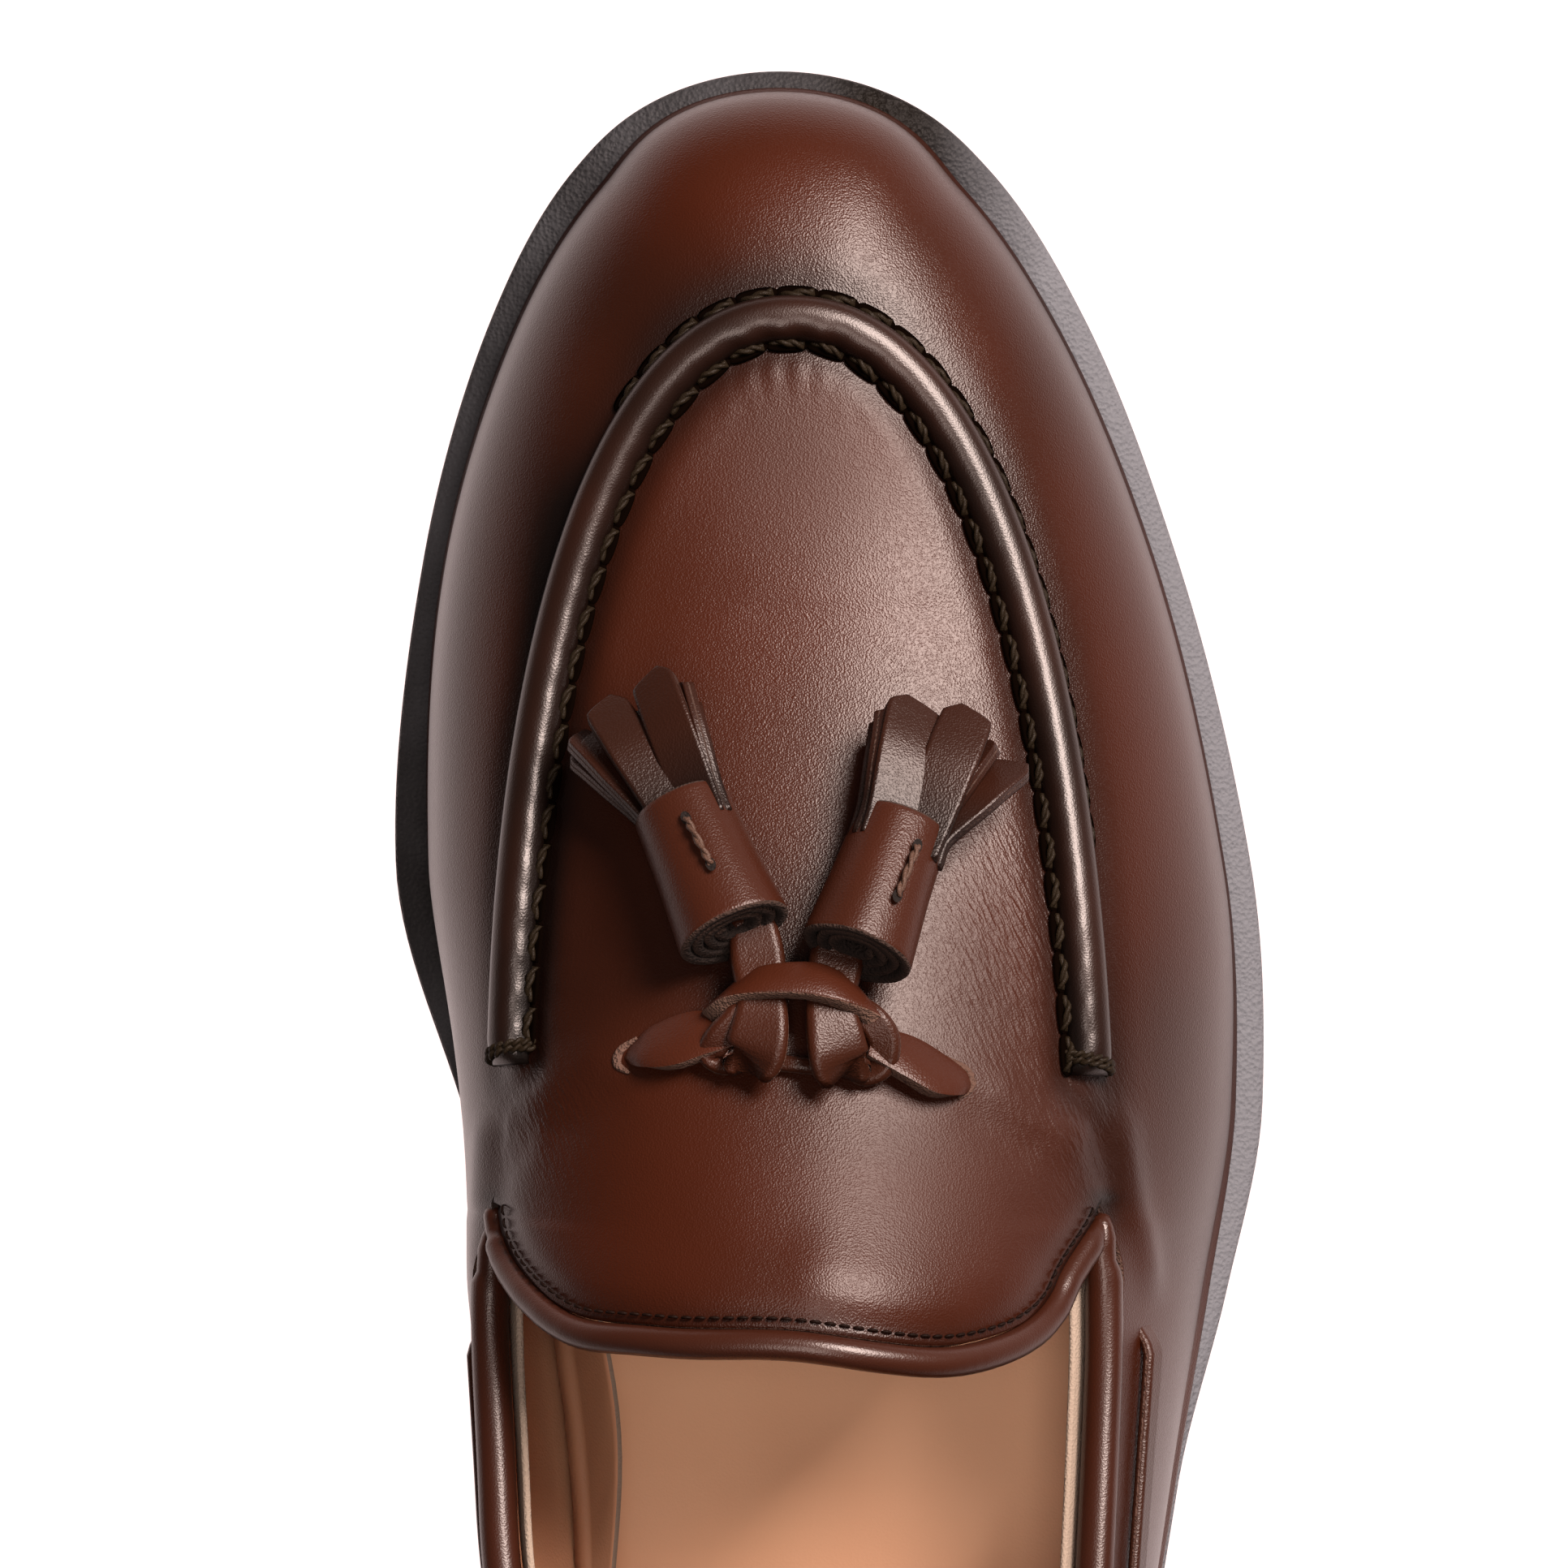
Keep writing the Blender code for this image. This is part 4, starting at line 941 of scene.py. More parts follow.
@dataclass(frozen=True)
class Finish:
    """A surface made of a base colour, a darker colour for burnish and painted shade, a lighter tint for its
    own warmth and for painted sheen, and its grain.
    """

    name: str
    colour: Triple
    burnish: Triple
    glow: Triple
    roughness: float
    cells: float
    depth: float
    bump: float
    specular: float
    gloss_tint: Triple = (1.0, 0.80, 0.72)

    def material(self) -> bpy.types.Material:
        """The finish as a material: burnish and painted shade, tint and painted sheen, and dullness by
        attribute, grain by bump.
        """
        if self.name in bpy.data.materials:
            return bpy.data.materials[self.name]
        made = bpy.data.materials.new(self.name)
        made.use_nodes = True
        tree = made.node_tree
        shader = tree.nodes["Principled BSDF"].inputs
        preset(shader, {"Specular IOR Level": self.specular, "Specular Tint": (*self.gloss_tint, 1)})
        stored = {
            name: added(tree, "ShaderNodeAttribute", attribute_name=name).outputs["Fac"]
            for name in ("burnish", "glow", "dull", "wrinkle")
        }
        grain = added(tree, "ShaderNodeGroup", {"Cells": self.cells}, node_tree=NodeGroups.grain())
        # The leather's own tint and painted sheen mix in first, then burnish and painted shade.
        warm = added(tree, "ShaderNodeMix", {"A": (*self.colour, 1), "B": (*self.glow, 1)}, data_type="RGBA")
        deep = added(tree, "ShaderNodeMix", {"B": (*self.burnish, 1)}, data_type="RGBA")
        mottled = added(tree, "ShaderNodeMapRange", {"From Min": 0.35, "From Max": 0.70, "To Max": 0.55})
        plus = added(tree, "ShaderNodeMath", operation="ADD", use_clamp=True)
        span = {"To Min": self.roughness * 0.92, "To Max": self.roughness * 1.12}
        rough = added(tree, "ShaderNodeMapRange", span)
        dull = added(tree, "ShaderNodeMath", {1: 0.20}, operation="MULTIPLY_ADD")
        bump = added(tree, "ShaderNodeBump", {"Strength": self.bump, "Distance": self.depth})
        for source, target in (
            (stored["wrinkle"], grain.inputs["Wrinkle"]),
            (grain.outputs["Mottle"], mottled.inputs["Value"]),
            (mottled.outputs[0], plus.inputs[0]),
            (stored["glow"], plus.inputs[1]),
            (plus.outputs[0], warm.inputs["Factor"]),
            (warm.outputs["Result"], deep.inputs["A"]),
            (stored["burnish"], deep.inputs["Factor"]),
            (deep.outputs["Result"], shader["Base Color"]),
            (stored["dull"], dull.inputs[0]),
            (grain.outputs["Mottle"], rough.inputs["Value"]),
            (rough.outputs[0], dull.inputs[2]),
            (dull.outputs[0], shader["Roughness"]),
            (grain.outputs["Height"], bump.inputs["Height"]),
            (bump.outputs[0], shader["Normal"]),
        ):
            tree.links.new(source, target)
        return made


CALF = Finish(
    "calf_burnished", (0.0200, 0.0040, 0.0014), (0.0024, 0.0009, 0.0006), (0.0320, 0.0050, 0.0014),
    roughness=0.30, cells=4300, depth=0.00005, bump=0.80, specular=0.22,
)
EDGE = Finish(
    "edge_calf_polished", (0.0050, 0.0019, 0.0011), (0.0020, 0.0010, 0.0007), (0.0230, 0.0049, 0.0020),
    roughness=0.31, cells=4300, depth=0.00003, bump=0.60, specular=0.34,
)
LACE = Finish(
    "lace_calf_face", (0.0195, 0.0048, 0.0021), (0.0045, 0.0017, 0.0011), (0.0340, 0.0066, 0.0025),
    roughness=0.34, cells=4000, depth=0.00005, bump=0.80, specular=0.20,
)
RAW = Finish(
    "raw_leather_edge", (0.043, 0.018, 0.012), (0.011, 0.0055, 0.004), (0.095, 0.046, 0.031),
    roughness=0.85, cells=3000, depth=0.00030, bump=1.0, specular=0.2,
)
ROLL_END = Finish(
    "rolled_flesh_side", (0.017, 0.0078, 0.0056), (0.006, 0.0035, 0.0028), (0.039, 0.0185, 0.0127),
    roughness=0.90, cells=2600, depth=0.00030, bump=1.0, specular=0.2,
)
THREAD = Finish(
    "waxed_thread", (0.0072, 0.0040, 0.0020), (0.0026, 0.0015, 0.0009), (0.014, 0.0080, 0.0042),
    roughness=0.45, cells=5200, depth=0.00006, bump=0.7, specular=0.06,
)
# A flat near-black lens under each seam stitch: painted shade of the groove that the thread sinks into.
GROOVE_SHADE = Finish(
    "seam_groove", (0.0016, 0.0007, 0.0004), (0.0010, 0.0005, 0.0003), (0.0016, 0.0007, 0.0004),
    roughness=0.80, cells=2600, depth=0.00004, bump=0.5, specular=0.0,
)
TIE = Finish(
    "tassel_tie_thread", (0.039, 0.015, 0.008), (0.014, 0.0056, 0.0035), (0.063, 0.028, 0.017),
    roughness=0.60, cells=4200, depth=0.00010, bump=0.8, specular=0.3,
)
# Near-black thread, darker than the thread's own colour: partly painted shade of the stitch holes.
FINE_THREAD = Finish(
    "fine_thread", (0.0040, 0.0014, 0.0008), (0.003, 0.0010, 0.0006), (0.008, 0.0026, 0.0014),
    roughness=0.55, cells=6000, depth=0.00004, bump=0.6, specular=0.05,
)
SOCK = Finish(
    "sock_leather", (0.600, 0.300, 0.165), (0.250, 0.100, 0.050), (0.680, 0.370, 0.220),
    roughness=0.55, cells=3000, depth=0.00004, bump=0.50, specular=0.15,
)
LINING = Finish(
    "quarter_lining", (0.400, 0.170, 0.088), (0.120, 0.046, 0.022), (0.480, 0.225, 0.120),
    roughness=0.55, cells=3000, depth=0.00006, bump=0.60, specular=0.15,
)
LINING_EDGE = Finish(
    "lining_raw_edge", (0.205, 0.134, 0.095), (0.100, 0.060, 0.039), (0.280, 0.195, 0.145),
    roughness=0.80, cells=3200, depth=0.00015, bump=0.8, specular=0.2,
)
# The sole's lighter tint is painted sheen, used on the lateral front of its margin.
SOLE = Finish(
    "sole_pitted", (0.0040, 0.0025, 0.0017), (0.002, 0.0014, 0.0012), (0.096, 0.084, 0.086),
    roughness=0.50, cells=1900, depth=0.00022, bump=1.0, specular=0.06,
)


# Spots of darker colour, partly the leather's burnish and partly painted shade on the walls, beside the seam
# and inside creases: strength, x, y and radii in millimetres.
BURNISH_AND_SHADE_SPOTS = (
    (0.62, -35, 92, 6, 17), (0.45, -31, 42, 7, 26), (0.50, -10, 40, 10, 9),
    (0.35, 6, 56, 8, 14), (0.55, 33, 14, 4, 11), (0.55, -40, 14, 4, 11),
    (0.35, -24, 118, 10, 10), (0.25, 26, 112, 6, 10), (0.30, 40, 30, 5, 16),
    (0.40, 33, 126, 8, 8), (0.25, 37, 95, 9, 30), (0.20, 0, 122, 26, 9),
)
# Spots of warmer, lighter tint, partly the leather's own colour and partly painted sheen on the apron,
# lateral wall and tongue: strength, x, y and radii in millimetres.
TINT_AND_SHEEN_SPOTS = (
    (0.55, -4, 86, 20, 18), (0.50, 38, 78, 8, 30), (0.40, -8, 128, 20, 9),
    (0.45, -2, 12, 26, 12), (0.35, 14, 104, 10, 10),
)
DULLED = ((1.0, 14, 14, 19, 13), (0.9, 20, 37, 10, 13), (0.8, -3, 98, 14, 11))
WRINKLED = ((1.0, 22, 40, 9, 13), (0.9, 28, 19, 7, 8), (0.6, -34, 20, 6, 9))
SLIT_SWELLS = ((1.0, -25.6, 28.6, 3.6, 3.2), (1.0, 16.6, 25.6, 3.6, 3.2))
CREASES = (
    (((34.2, 22), (34.9, 17), (35.9, 11), (37.3, 5), (38.9, -3)), 1.5, 0.75),
    (((32.6, 21), (33.0, 15), (33.6, 9)), 1.6, -0.55),
    (((-41.0, 21), (-41.9, 14), (-42.4, 6), (-42.8, -3)), 1.5, 0.55),
    (((-38.6, 20), (-39.0, 14), (-39.4, 9)), 1.6, -0.45),
    (((17.5, 25.2), (22, 21.5), (27, 18.2), (31, 17.0)), 2.6, 0.62),
    (((15, 22.6), (20, 19.0), (25, 15.6)), 2.4, -0.34),
    (((-26, 28.2), (-30, 25.6), (-34, 22.6), (-37, 21)), 2.6, 0.50),
    (((-24.6, 24.6), (-29, 21.6), (-34, 17.5)), 2.6, -0.32),
    (((-12, 80.2), (-2, 79.0), (8, 78.8), (18, 79.8)), 0.9, -0.16),
    (((-14, 84.5), (-4, 82.6), (6, 82.0), (16, 83.0)), 1.2, 0.10),
    (((-30, 58), (-29, 48), (-28, 38)), 4.0, -0.35),
    (((-6, 5), (4, 3), (14, 3), (24, 4)), 6.0, 0.45),
    (((28.5, 21.5), (31, 18.8), (33, 15.4)), 0.7, -0.30),
    (((30.2, 22.6), (32.4, 19.8), (34, 16.6)), 0.6, 0.26),
    (((29, 18.6), (30.8, 15.8), (32, 12.6)), 0.6, -0.22),
    (((-34.5, 21), (-36, 17.8), (-37.2, 14)), 0.7, -0.24),
    (((-37.0, 22.2), (-38.2, 19), (-38.8, 15.5)), 0.6, 0.20),
)


@dataclass
class Upper:
    """Vamp, quarters, apron and tongue: one leather surface with its listed creases."""

    skin: Skin
    stitch_pitch: float = 4.9 * MM

    def shaped(self, points: np.ndarray, normals: np.ndarray) -> tuple[np.ndarray, np.ndarray]:
        """Points moved along their normals by the creases, and the wrinkles' strength."""
        relief = Relief(points)
        top = smoothstep(0.0, 0.35, normals[:, 2])
        y = points[:, 1]
        far, run = self.from_seam(points)
        beat = 0.5 + 0.5 * np.cos(2 * np.pi * run / self.stitch_pitch)
        ahead = smoothstep(20 * MM, 26 * MM, y)
        relief.add(-0.42, hump(far, -3.6, 1.7) * ahead * (0.72 + 0.28 * beat))
        relief.add(-0.34, hump(far, 3.6, 2.2) * ahead * (0.86 + 0.14 * beat))
        relief.add(0.22, hump(far, -6.8, 2.4) * ahead * beat)
        lift = points[:, 2] - self.seats(y)
        relief.add(0.85, hump(lift, 0.0, 1.1))
        relief.add(-0.22, hump(lift, 2.6, 1.2))
        for crease in map(Crease._make, CREASES):
            relief.add(crease.height, relief.near(crease.line, crease.width) * top)
        relief.add(0.40, ovals(points, SLIT_SWELLS) * top)
        edge = self.from_tongue_edge(points)
        relief.add(-0.75, (1 - smoothstep(0.2 * MM, 4.2 * MM, edge)) * (y < 10 * MM))
        relief.add(0.25, hump(edge, 6.0, 3.0) * (y < 8 * MM))
        return points + normals * relief.offset[:, None], np.clip(ovals(points, WRINKLED), 0, 1)

    def seats(self, y: np.ndarray) -> np.ndarray:
        """Height of the feather line at places along the shoe."""
        half = self.skin.last.sole_length / 2
        places = np.linspace(-half, half, 200)
        return np.interp(y, places, [self.skin.last.seat(place) for place in places])

    def from_seam(self, points: np.ndarray) -> tuple[np.ndarray, np.ndarray]:
        """Signed distance from the seam, outside positive, and place along it."""
        frames = self.skin.seam()
        line = np.array([tuple(f.point) for f in frames])
        runs = np.concatenate([[0], np.cumsum(np.linalg.norm(np.diff(line, axis=0), axis=1))])
        far, run = np.full(len(points), 1.0), np.zeros(len(points))
        for k, frame in enumerate(frames):
            delta = points - line[k]
            away = np.linalg.norm(delta, axis=1)
            side = np.where(delta @ np.array(frame.across) > 0, 1.0, -1.0)
            closer = away < np.abs(far)
            far = np.where(closer, away * side, far)
            run = np.where(closer, runs[k], run)
        return far * outward(frames), run

    def from_tongue_edge(self, points: np.ndarray) -> np.ndarray:
        """Distance of each point from the tongue's edge in plan."""
        best = np.full(len(points), 1.0)
        for place in self.skin.tongue_outline(60):
            best = np.minimum(best, np.hypot(points[:, 0] - place.x, points[:, 1] - place.y))
        return best

    def tones(self, points: np.ndarray, normals: np.ndarray) -> dict[str, np.ndarray]:
        """Burnish and painted shade, tint and painted sheen, and dullness of the leather, from the photo."""
        far, _ = self.from_seam(points)
        y = points[:, 1]
        ahead = smoothstep(14 * MM, 28 * MM, y)
        # Darker bands beside the seam: painted shade in the stitch groove inside it, burnish with painted
        # shade outside it; the listed spots are partly burnish, partly painted shade.
        dark = (0.62 * hump(far, 3.4, 4.2) + 0.60 * hump(far, -3.8, 2.6)) * ahead + ovals(points, BURNISH_AND_SHADE_SPOTS)
        # Painted shade: walls that turn away from the top are darker.
        dark += 0.30 * smoothstep(0.5, -0.2, normals[:, 2]) * smoothstep(-20 * MM, 20 * MM, y)
        # Painted shade within 3 mm of the tongue's edge, under its binding.
        dark += 0.45 * (1 - smoothstep(0, 3 * MM, self.from_tongue_edge(points))) * (y < 12 * MM)
        # The lighter tint is partly painted sheen; the dullness only roughens.
        tones = {"burnish": dark, "glow": ovals(points, TINT_AND_SHEEN_SPOTS), "dull": ovals(points, DULLED)}
        return {name: np.clip(values, 0, 1) for name, values in tones.items()}

    def build(self) -> None:
        """The dressed upper, with lining inside and raw leather round its rims."""
        points, faces = self.skin.build()
        made = build_mesh("upper_skin", points, faces, [CALF, LINING, RAW])
        normals = np.zeros(len(points) * 3)
        made.data.vertices.foreach_get("normal", normals)
        normals = normals.reshape(-1, 3)
        if normals[:, 2].mean() < 0:
            made.data.flip_normals()
            normals = -normals
        points, worn = self.shaped(points, normals)
        made.data.vertices.foreach_set("co", points.ravel())
        for name, values in (*self.tones(points, normals).items(), ("wrinkle", worn)):
            attribute(made, name, values)
        wall = {"thickness": self.skin.last.wall, "offset": -1, "use_even_offset": True}
        modified(made, "wall", "SOLIDIFY", material_offset=1, material_offset_rim=2, **wall)
        settle(applied(made), "calf", "upper")


@dataclass
class StitchNodes:
    """Geometry nodes that lay one stitch on each point of a carrier and make them one mesh."""

    name: str = "stitches_on_points"

    def tree(self) -> bpy.types.NodeTree:
        """The node tree, built once."""
        if self.name in bpy.data.node_groups:
            return bpy.data.node_groups[self.name]
        tree = bpy.data.node_groups.new(self.name, "GeometryNodeTree")
        for label, way, kind in (
            ("Geometry", "INPUT", "Geometry"),
            ("Stitch", "INPUT", "Object"),
            ("Finish", "INPUT", "Material"),
            ("Geometry", "OUTPUT", "Geometry"),
        ):
            tree.interface.new_socket(label, in_out=way, socket_type="NodeSocket" + kind)
        enter, leave = added(tree, "NodeGroupInput").outputs, added(tree, "NodeGroupOutput").inputs
        run, up = (
            added(tree, "GeometryNodeInputNamedAttribute", {"Name": name}, data_type="FLOAT_VECTOR")
            for name in ("run", "up")
        )
        lie = added(tree, "FunctionNodeAlignRotationToVector", axis="X")
        rise = added(tree, "FunctionNodeAlignRotationToVector", axis="Z", pivot_axis="X")
        source = added(tree, "GeometryNodeObjectInfo")
        place = added(tree, "GeometryNodeInstanceOnPoints")
        real = added(tree, "GeometryNodeRealizeInstances")
        paint = added(tree, "GeometryNodeSetMaterial")
        for begin, end in (
            (run.outputs["Attribute"], lie.inputs["Vector"]),
            (lie.outputs["Rotation"], rise.inputs["Rotation"]),
            (up.outputs["Attribute"], rise.inputs["Vector"]),
            (enter["Stitch"], source.inputs["Object"]),
            (enter["Geometry"], place.inputs["Points"]),
            (source.outputs["Geometry"], place.inputs["Instance"]),
            (rise.outputs["Rotation"], place.inputs["Rotation"]),
            (place.outputs["Instances"], real.inputs["Geometry"]),
            (real.outputs["Geometry"], paint.inputs["Geometry"]),
            (enter["Finish"], paint.inputs["Material"]),
            (paint.outputs["Geometry"], leave["Geometry"]),
        ):
            tree.links.new(begin, end)
        return tree

    def lay(
        self, name: str, frames: Sequence[Frame], stitch: Piece, finish: Finish
    ) -> Piece:
        """Stitches on frames, whose across direction is each stitch's length.

        Args:
            name: Name of the piece.
            frames: Place, direction and up of each stitch.
            stitch: The stitch's mesh, along +X and rising to +Z. It is removed afterwards.
            finish: Finish of the thread.

        Returns:
            One mesh with all the stitches.
        """
        mesh = bpy.data.meshes.new(name)
        mesh.from_pydata([tuple(f.point) for f in frames], [], [])
        for key, vectors in (("run", [f.across for f in frames]), ("up", [f.up for f in frames])):
            layer = mesh.attributes.new(key, "FLOAT_VECTOR", "POINT")
            layer.data.foreach_set("vector", np.array([tuple(v) for v in vectors]).ravel())
        made = bpy.data.objects.new(name, mesh)
        bpy.context.scene.collection.objects.link(made)
        modifier = made.modifiers.new("stitches", "NODES")
        modifier.node_group = self.tree()
        given = {"Stitch": stitch, "Finish": finish.material()}
        for item in modifier.node_group.interface.items_tree:
            if item.in_out == "INPUT" and item.name in given:
                modifier[item.identifier] = given[item.name]
        applied(made)
        bpy.data.objects.remove(stitch)
        return made


def strand(
    length: float, radius: float, arch: float, plies: int = 2, twist: float = 1.7, flat: float = 1.0
) -> Piece:
    """One stitch of twisted thread along +X, arched towards +Z with both ends sunk.

    Args:
        length: Length between the two holes.
        radius: Radius of the whole thread.
        arch: Height of the arch over the surface.
        plies: Number of plies twisted together. A single ply thins towards both holes.
        twist: Turns over the length.
        flat: Height of a single ply as a share of its width.

    Returns:
        A mesh object to lay with StitchNodes.
    """
    steps, sides = 11, 6
    points: list[Vector] = []
    faces: Faces = []
    twisted = plies > 1
    ply = radius * (0.62 if twisted else 1.0)
    lean = radius - ply
    for p in range(plies):
        base = len(points)
        for k in range(steps + 1):
            t = k / steps
            out = abs(2 * t - 1)
            angle = 2 * math.pi * (twist * t + p / plies)
            y = lean * math.cos(angle)
            z = arch * (1 - out**2) * 1.6 - arch * 0.6 + lean * math.sin(angle)
            full = ply * (1.0 if twisted else 0.30 + 0.70 * math.sqrt(1 - out**2.5))
            points += [Vector(((t - 0.5) * length, y + a, z + b)) for a, b in circle(full, sides, flat)]
        ends = [tuple(range(sides)), tuple(range(steps * sides, (steps + 1) * sides))]
        for face in grid_faces(steps + 1, sides, closed=True) + ends:
            faces.append(tuple(base + n for n in face))
    return build_mesh("stitch_source", points, faces, [])


def spaced(frames: Sequence[Frame], pitch: float, start: float = 0.5) -> list[Frame]:
    """Frames at an even pitch from a share of it on, with the line's direction as across."""
    found = []
    due = pitch * start
    walked = 0.0
    for here, after in zip(frames, frames[1:]):
        step = after.point - here.point
        while due <= walked + step.length:
            t = (due - walked) / max(step.length, TINY)
            up = here.up.lerp(after.up, t).normalized()
            found.append(Frame(here.point.lerp(after.point, t), step.normalized(), up))
            due += pitch
        walked += step.length
    return found


def outward(frames: Sequence[Frame]) -> float:
    """Sign that makes the seam's across direction point out of the apron."""
    return 1.0 if frames[len(frames) // 2].across.y > 0 else -1.0


def rope(
    name: str, path: Sequence[Vector], radius: float, turns: float, finish: Finish
) -> Piece:
    """A twisted two-ply thread along a path of points."""
    smooth = through(path, max(24, len(path) * 3))
    lean = radius * 0.42
    parts = []
    for ply in range(2):
        frames = []
        for k, point in enumerate(smooth):
            run = direction(smooth, k)
            side = run.cross(Vector((0.13, 0.27, 0.95))).normalized()
            up = side.cross(run)
            angle = 2 * math.pi * (turns * k / len(smooth) + ply / 2)
            centre = point + side * (lean * math.cos(angle)) + up * (lean * math.sin(angle))
            frames.append(Frame(centre, side, up))
        parts.append(sweep(f"{name}_{ply}", frames, lambda _: circle(radius * 0.6, 6), [finish]))
    return joined(name, parts)


@dataclass
class Seam:
    """Raised apron seam: a rolled ridge, sewn by hand with thick waxed thread."""

    skin: Skin
    width: float = 5.6 * MM
    height: float = 3.0 * MM
    pitch: float = 4.9 * MM
    thread: float = 0.58 * MM
    groove_shade: float = 0.95 * MM
    inner_line: float = 2.95 * MM
    outer_line: float = 3.05 * MM
    outer_sewn: Pair = (0.10, 0.74)
    raw_share: float = 0.24
    arc: int = 19

    def build(self) -> None:
        """Roll, both lines of stitches, the wrapped ends and the raw edge at the outer foot."""
        frames = self.skin.seam()
        sign = outward(frames)
        self.roll(frames, sign)
        self.stitches("inner_stitches", self.skin.seam(-sign * self.inner_line), sign, 0.0)
        outer = self.skin.seam(sign * self.outer_line)
        first, last = (int(len(outer) * share) for share in self.outer_sewn)
        self.stitches("outer_stitches", outer[first:last], -sign, 0.5)
        self.wraps(frames)
        if outer[0].point.x > 0:
            side = outer[: int(len(outer) * self.raw_share)]
        else:
            side = outer[int(len(outer) * (1 - self.raw_share)) :]
        border = sweep("seam_edge", side, lambda _: strap_profile(0.30 * MM, 0.5 * MM), [RAW])
        attribute(border, "glow", 1.0)
        settle(border, "edge_calf")

    def roll(self, frames: Sequence[Frame], sign: float) -> None:
        """Roll of edge calf, pinched on its inner side at each stitch, with painted shade on its flanks and
        feet and darker towards both ends.
        """
        runs = [0.0]
        for before, after in zip(frames, frames[1:]):
            runs.append(runs[-1] + (after.point - before.point).length)
        foot, sunk = self.width * 0.46, -0.35 * MM

        def section(k: int) -> Section:
            """Round section over a flat foot."""
            beat = 0.5 + 0.5 * math.cos(2 * math.pi * runs[k] / self.pitch)
            ends = min(1.0, min(runs[k], runs[-1] - runs[k]) / (2.2 * MM))
            rise = self.height * (0.62 + 0.38 * math.sqrt(ends))
            points = []
            for n in range(self.arc):
                angle = math.pi * n / (self.arc - 1)
                c, s = math.cos(angle), math.sin(angle)
                pinch = beat if -c * sign > 0 else 0.0
                half = self.width / 2 * (1 - 0.13 * pinch * s**0.5)
                lift = rise * s**0.80 * (1 - 0.10 * pinch * abs(c))
                points.append((half * math.copysign(abs(c) ** 0.86, c), lift + 0.05 * MM))
            return [*points, (-foot, sunk), (foot, sunk)]

        made = sweep("seam_roll", frames, section, [EDGE])
        # Painted shade: darker down the flanks and on the flat feet, lightest on the crest, and darker
        # towards both ends.
        dark = []
        for k in range(len(frames)):
            ends = 0.5 * math.exp(-min(k, len(frames) - 1 - k) / 12)
            for n in range(self.arc + 2):
                low = 1.0 if n >= self.arc else abs(math.cos(math.pi * n / (self.arc - 1))) ** 3
                dark.append(min(1.0, 0.75 * low + ends))
        attribute(made, "burnish", dark)
        settle(made, "edge_calf", "apron_seam")

    def stitches(self, name: str, line: Sequence[Frame], sign: float, start: float) -> None:
        """One line of stitches along the roll's foot, each over a flat dark lens painted as the shade of its
        groove.
        """
        laid, sunk = [], []
        for frame in spaced(line, self.pitch, start + 0.5):
            side = frame.across.cross(frame.up).normalized()
            run = (frame.across + side * 0.16 * sign).normalized()
            laid.append(Frame(frame.point + frame.up * 0.14 * MM, run, frame.up))
            foot = frame.point - side * 0.18 * sign * MM - frame.up * 0.06 * MM
            sunk.append(Frame(foot, frame.across, frame.up))
        thread = strand(self.pitch * 0.86, self.thread, 0.42 * MM, twist=1.1)
        # The lens under each stitch is painted shade of its groove.
        groove_shade = strand(self.pitch * 1.06, self.groove_shade, 0.0, plies=1, flat=0.22)
        settle(StitchNodes().lay(name, laid, thread, THREAD), "edge_calf")
        settle(StitchNodes().lay(name + "_groove", sunk, groove_shade, GROOVE_SHADE), "edge_calf")

    def wraps(self, frames: Sequence[Frame]) -> None:
        """Thread wrapped over each end of the roll."""
        parts = []
        clear = 0.35 * MM
        for frame, side in ((frames[1], 1), (frames[-2], -1)):
            ahead = frame.across.cross(frame.up).normalized()
            for n, shift in enumerate((-clear, clear)):
                path = []
                for step in range(17):
                    angle = math.pi * (step / 16 * 1.16 - 0.08)
                    out = frame.across * math.cos(angle) * (self.width / 2 + clear)
                    rise = frame.up * (math.sin(angle) * (self.height * 0.78 + clear))
                    skew = ahead * (shift + side * 0.7 * MM * math.cos(angle))
                    path.append(frame.point + out + rise + skew)
                parts.append(rope(f"wrap_{side}_{n}", path, self.thread, 5, THREAD))
        settle(joined("seam_wraps", parts), "edge_calf")


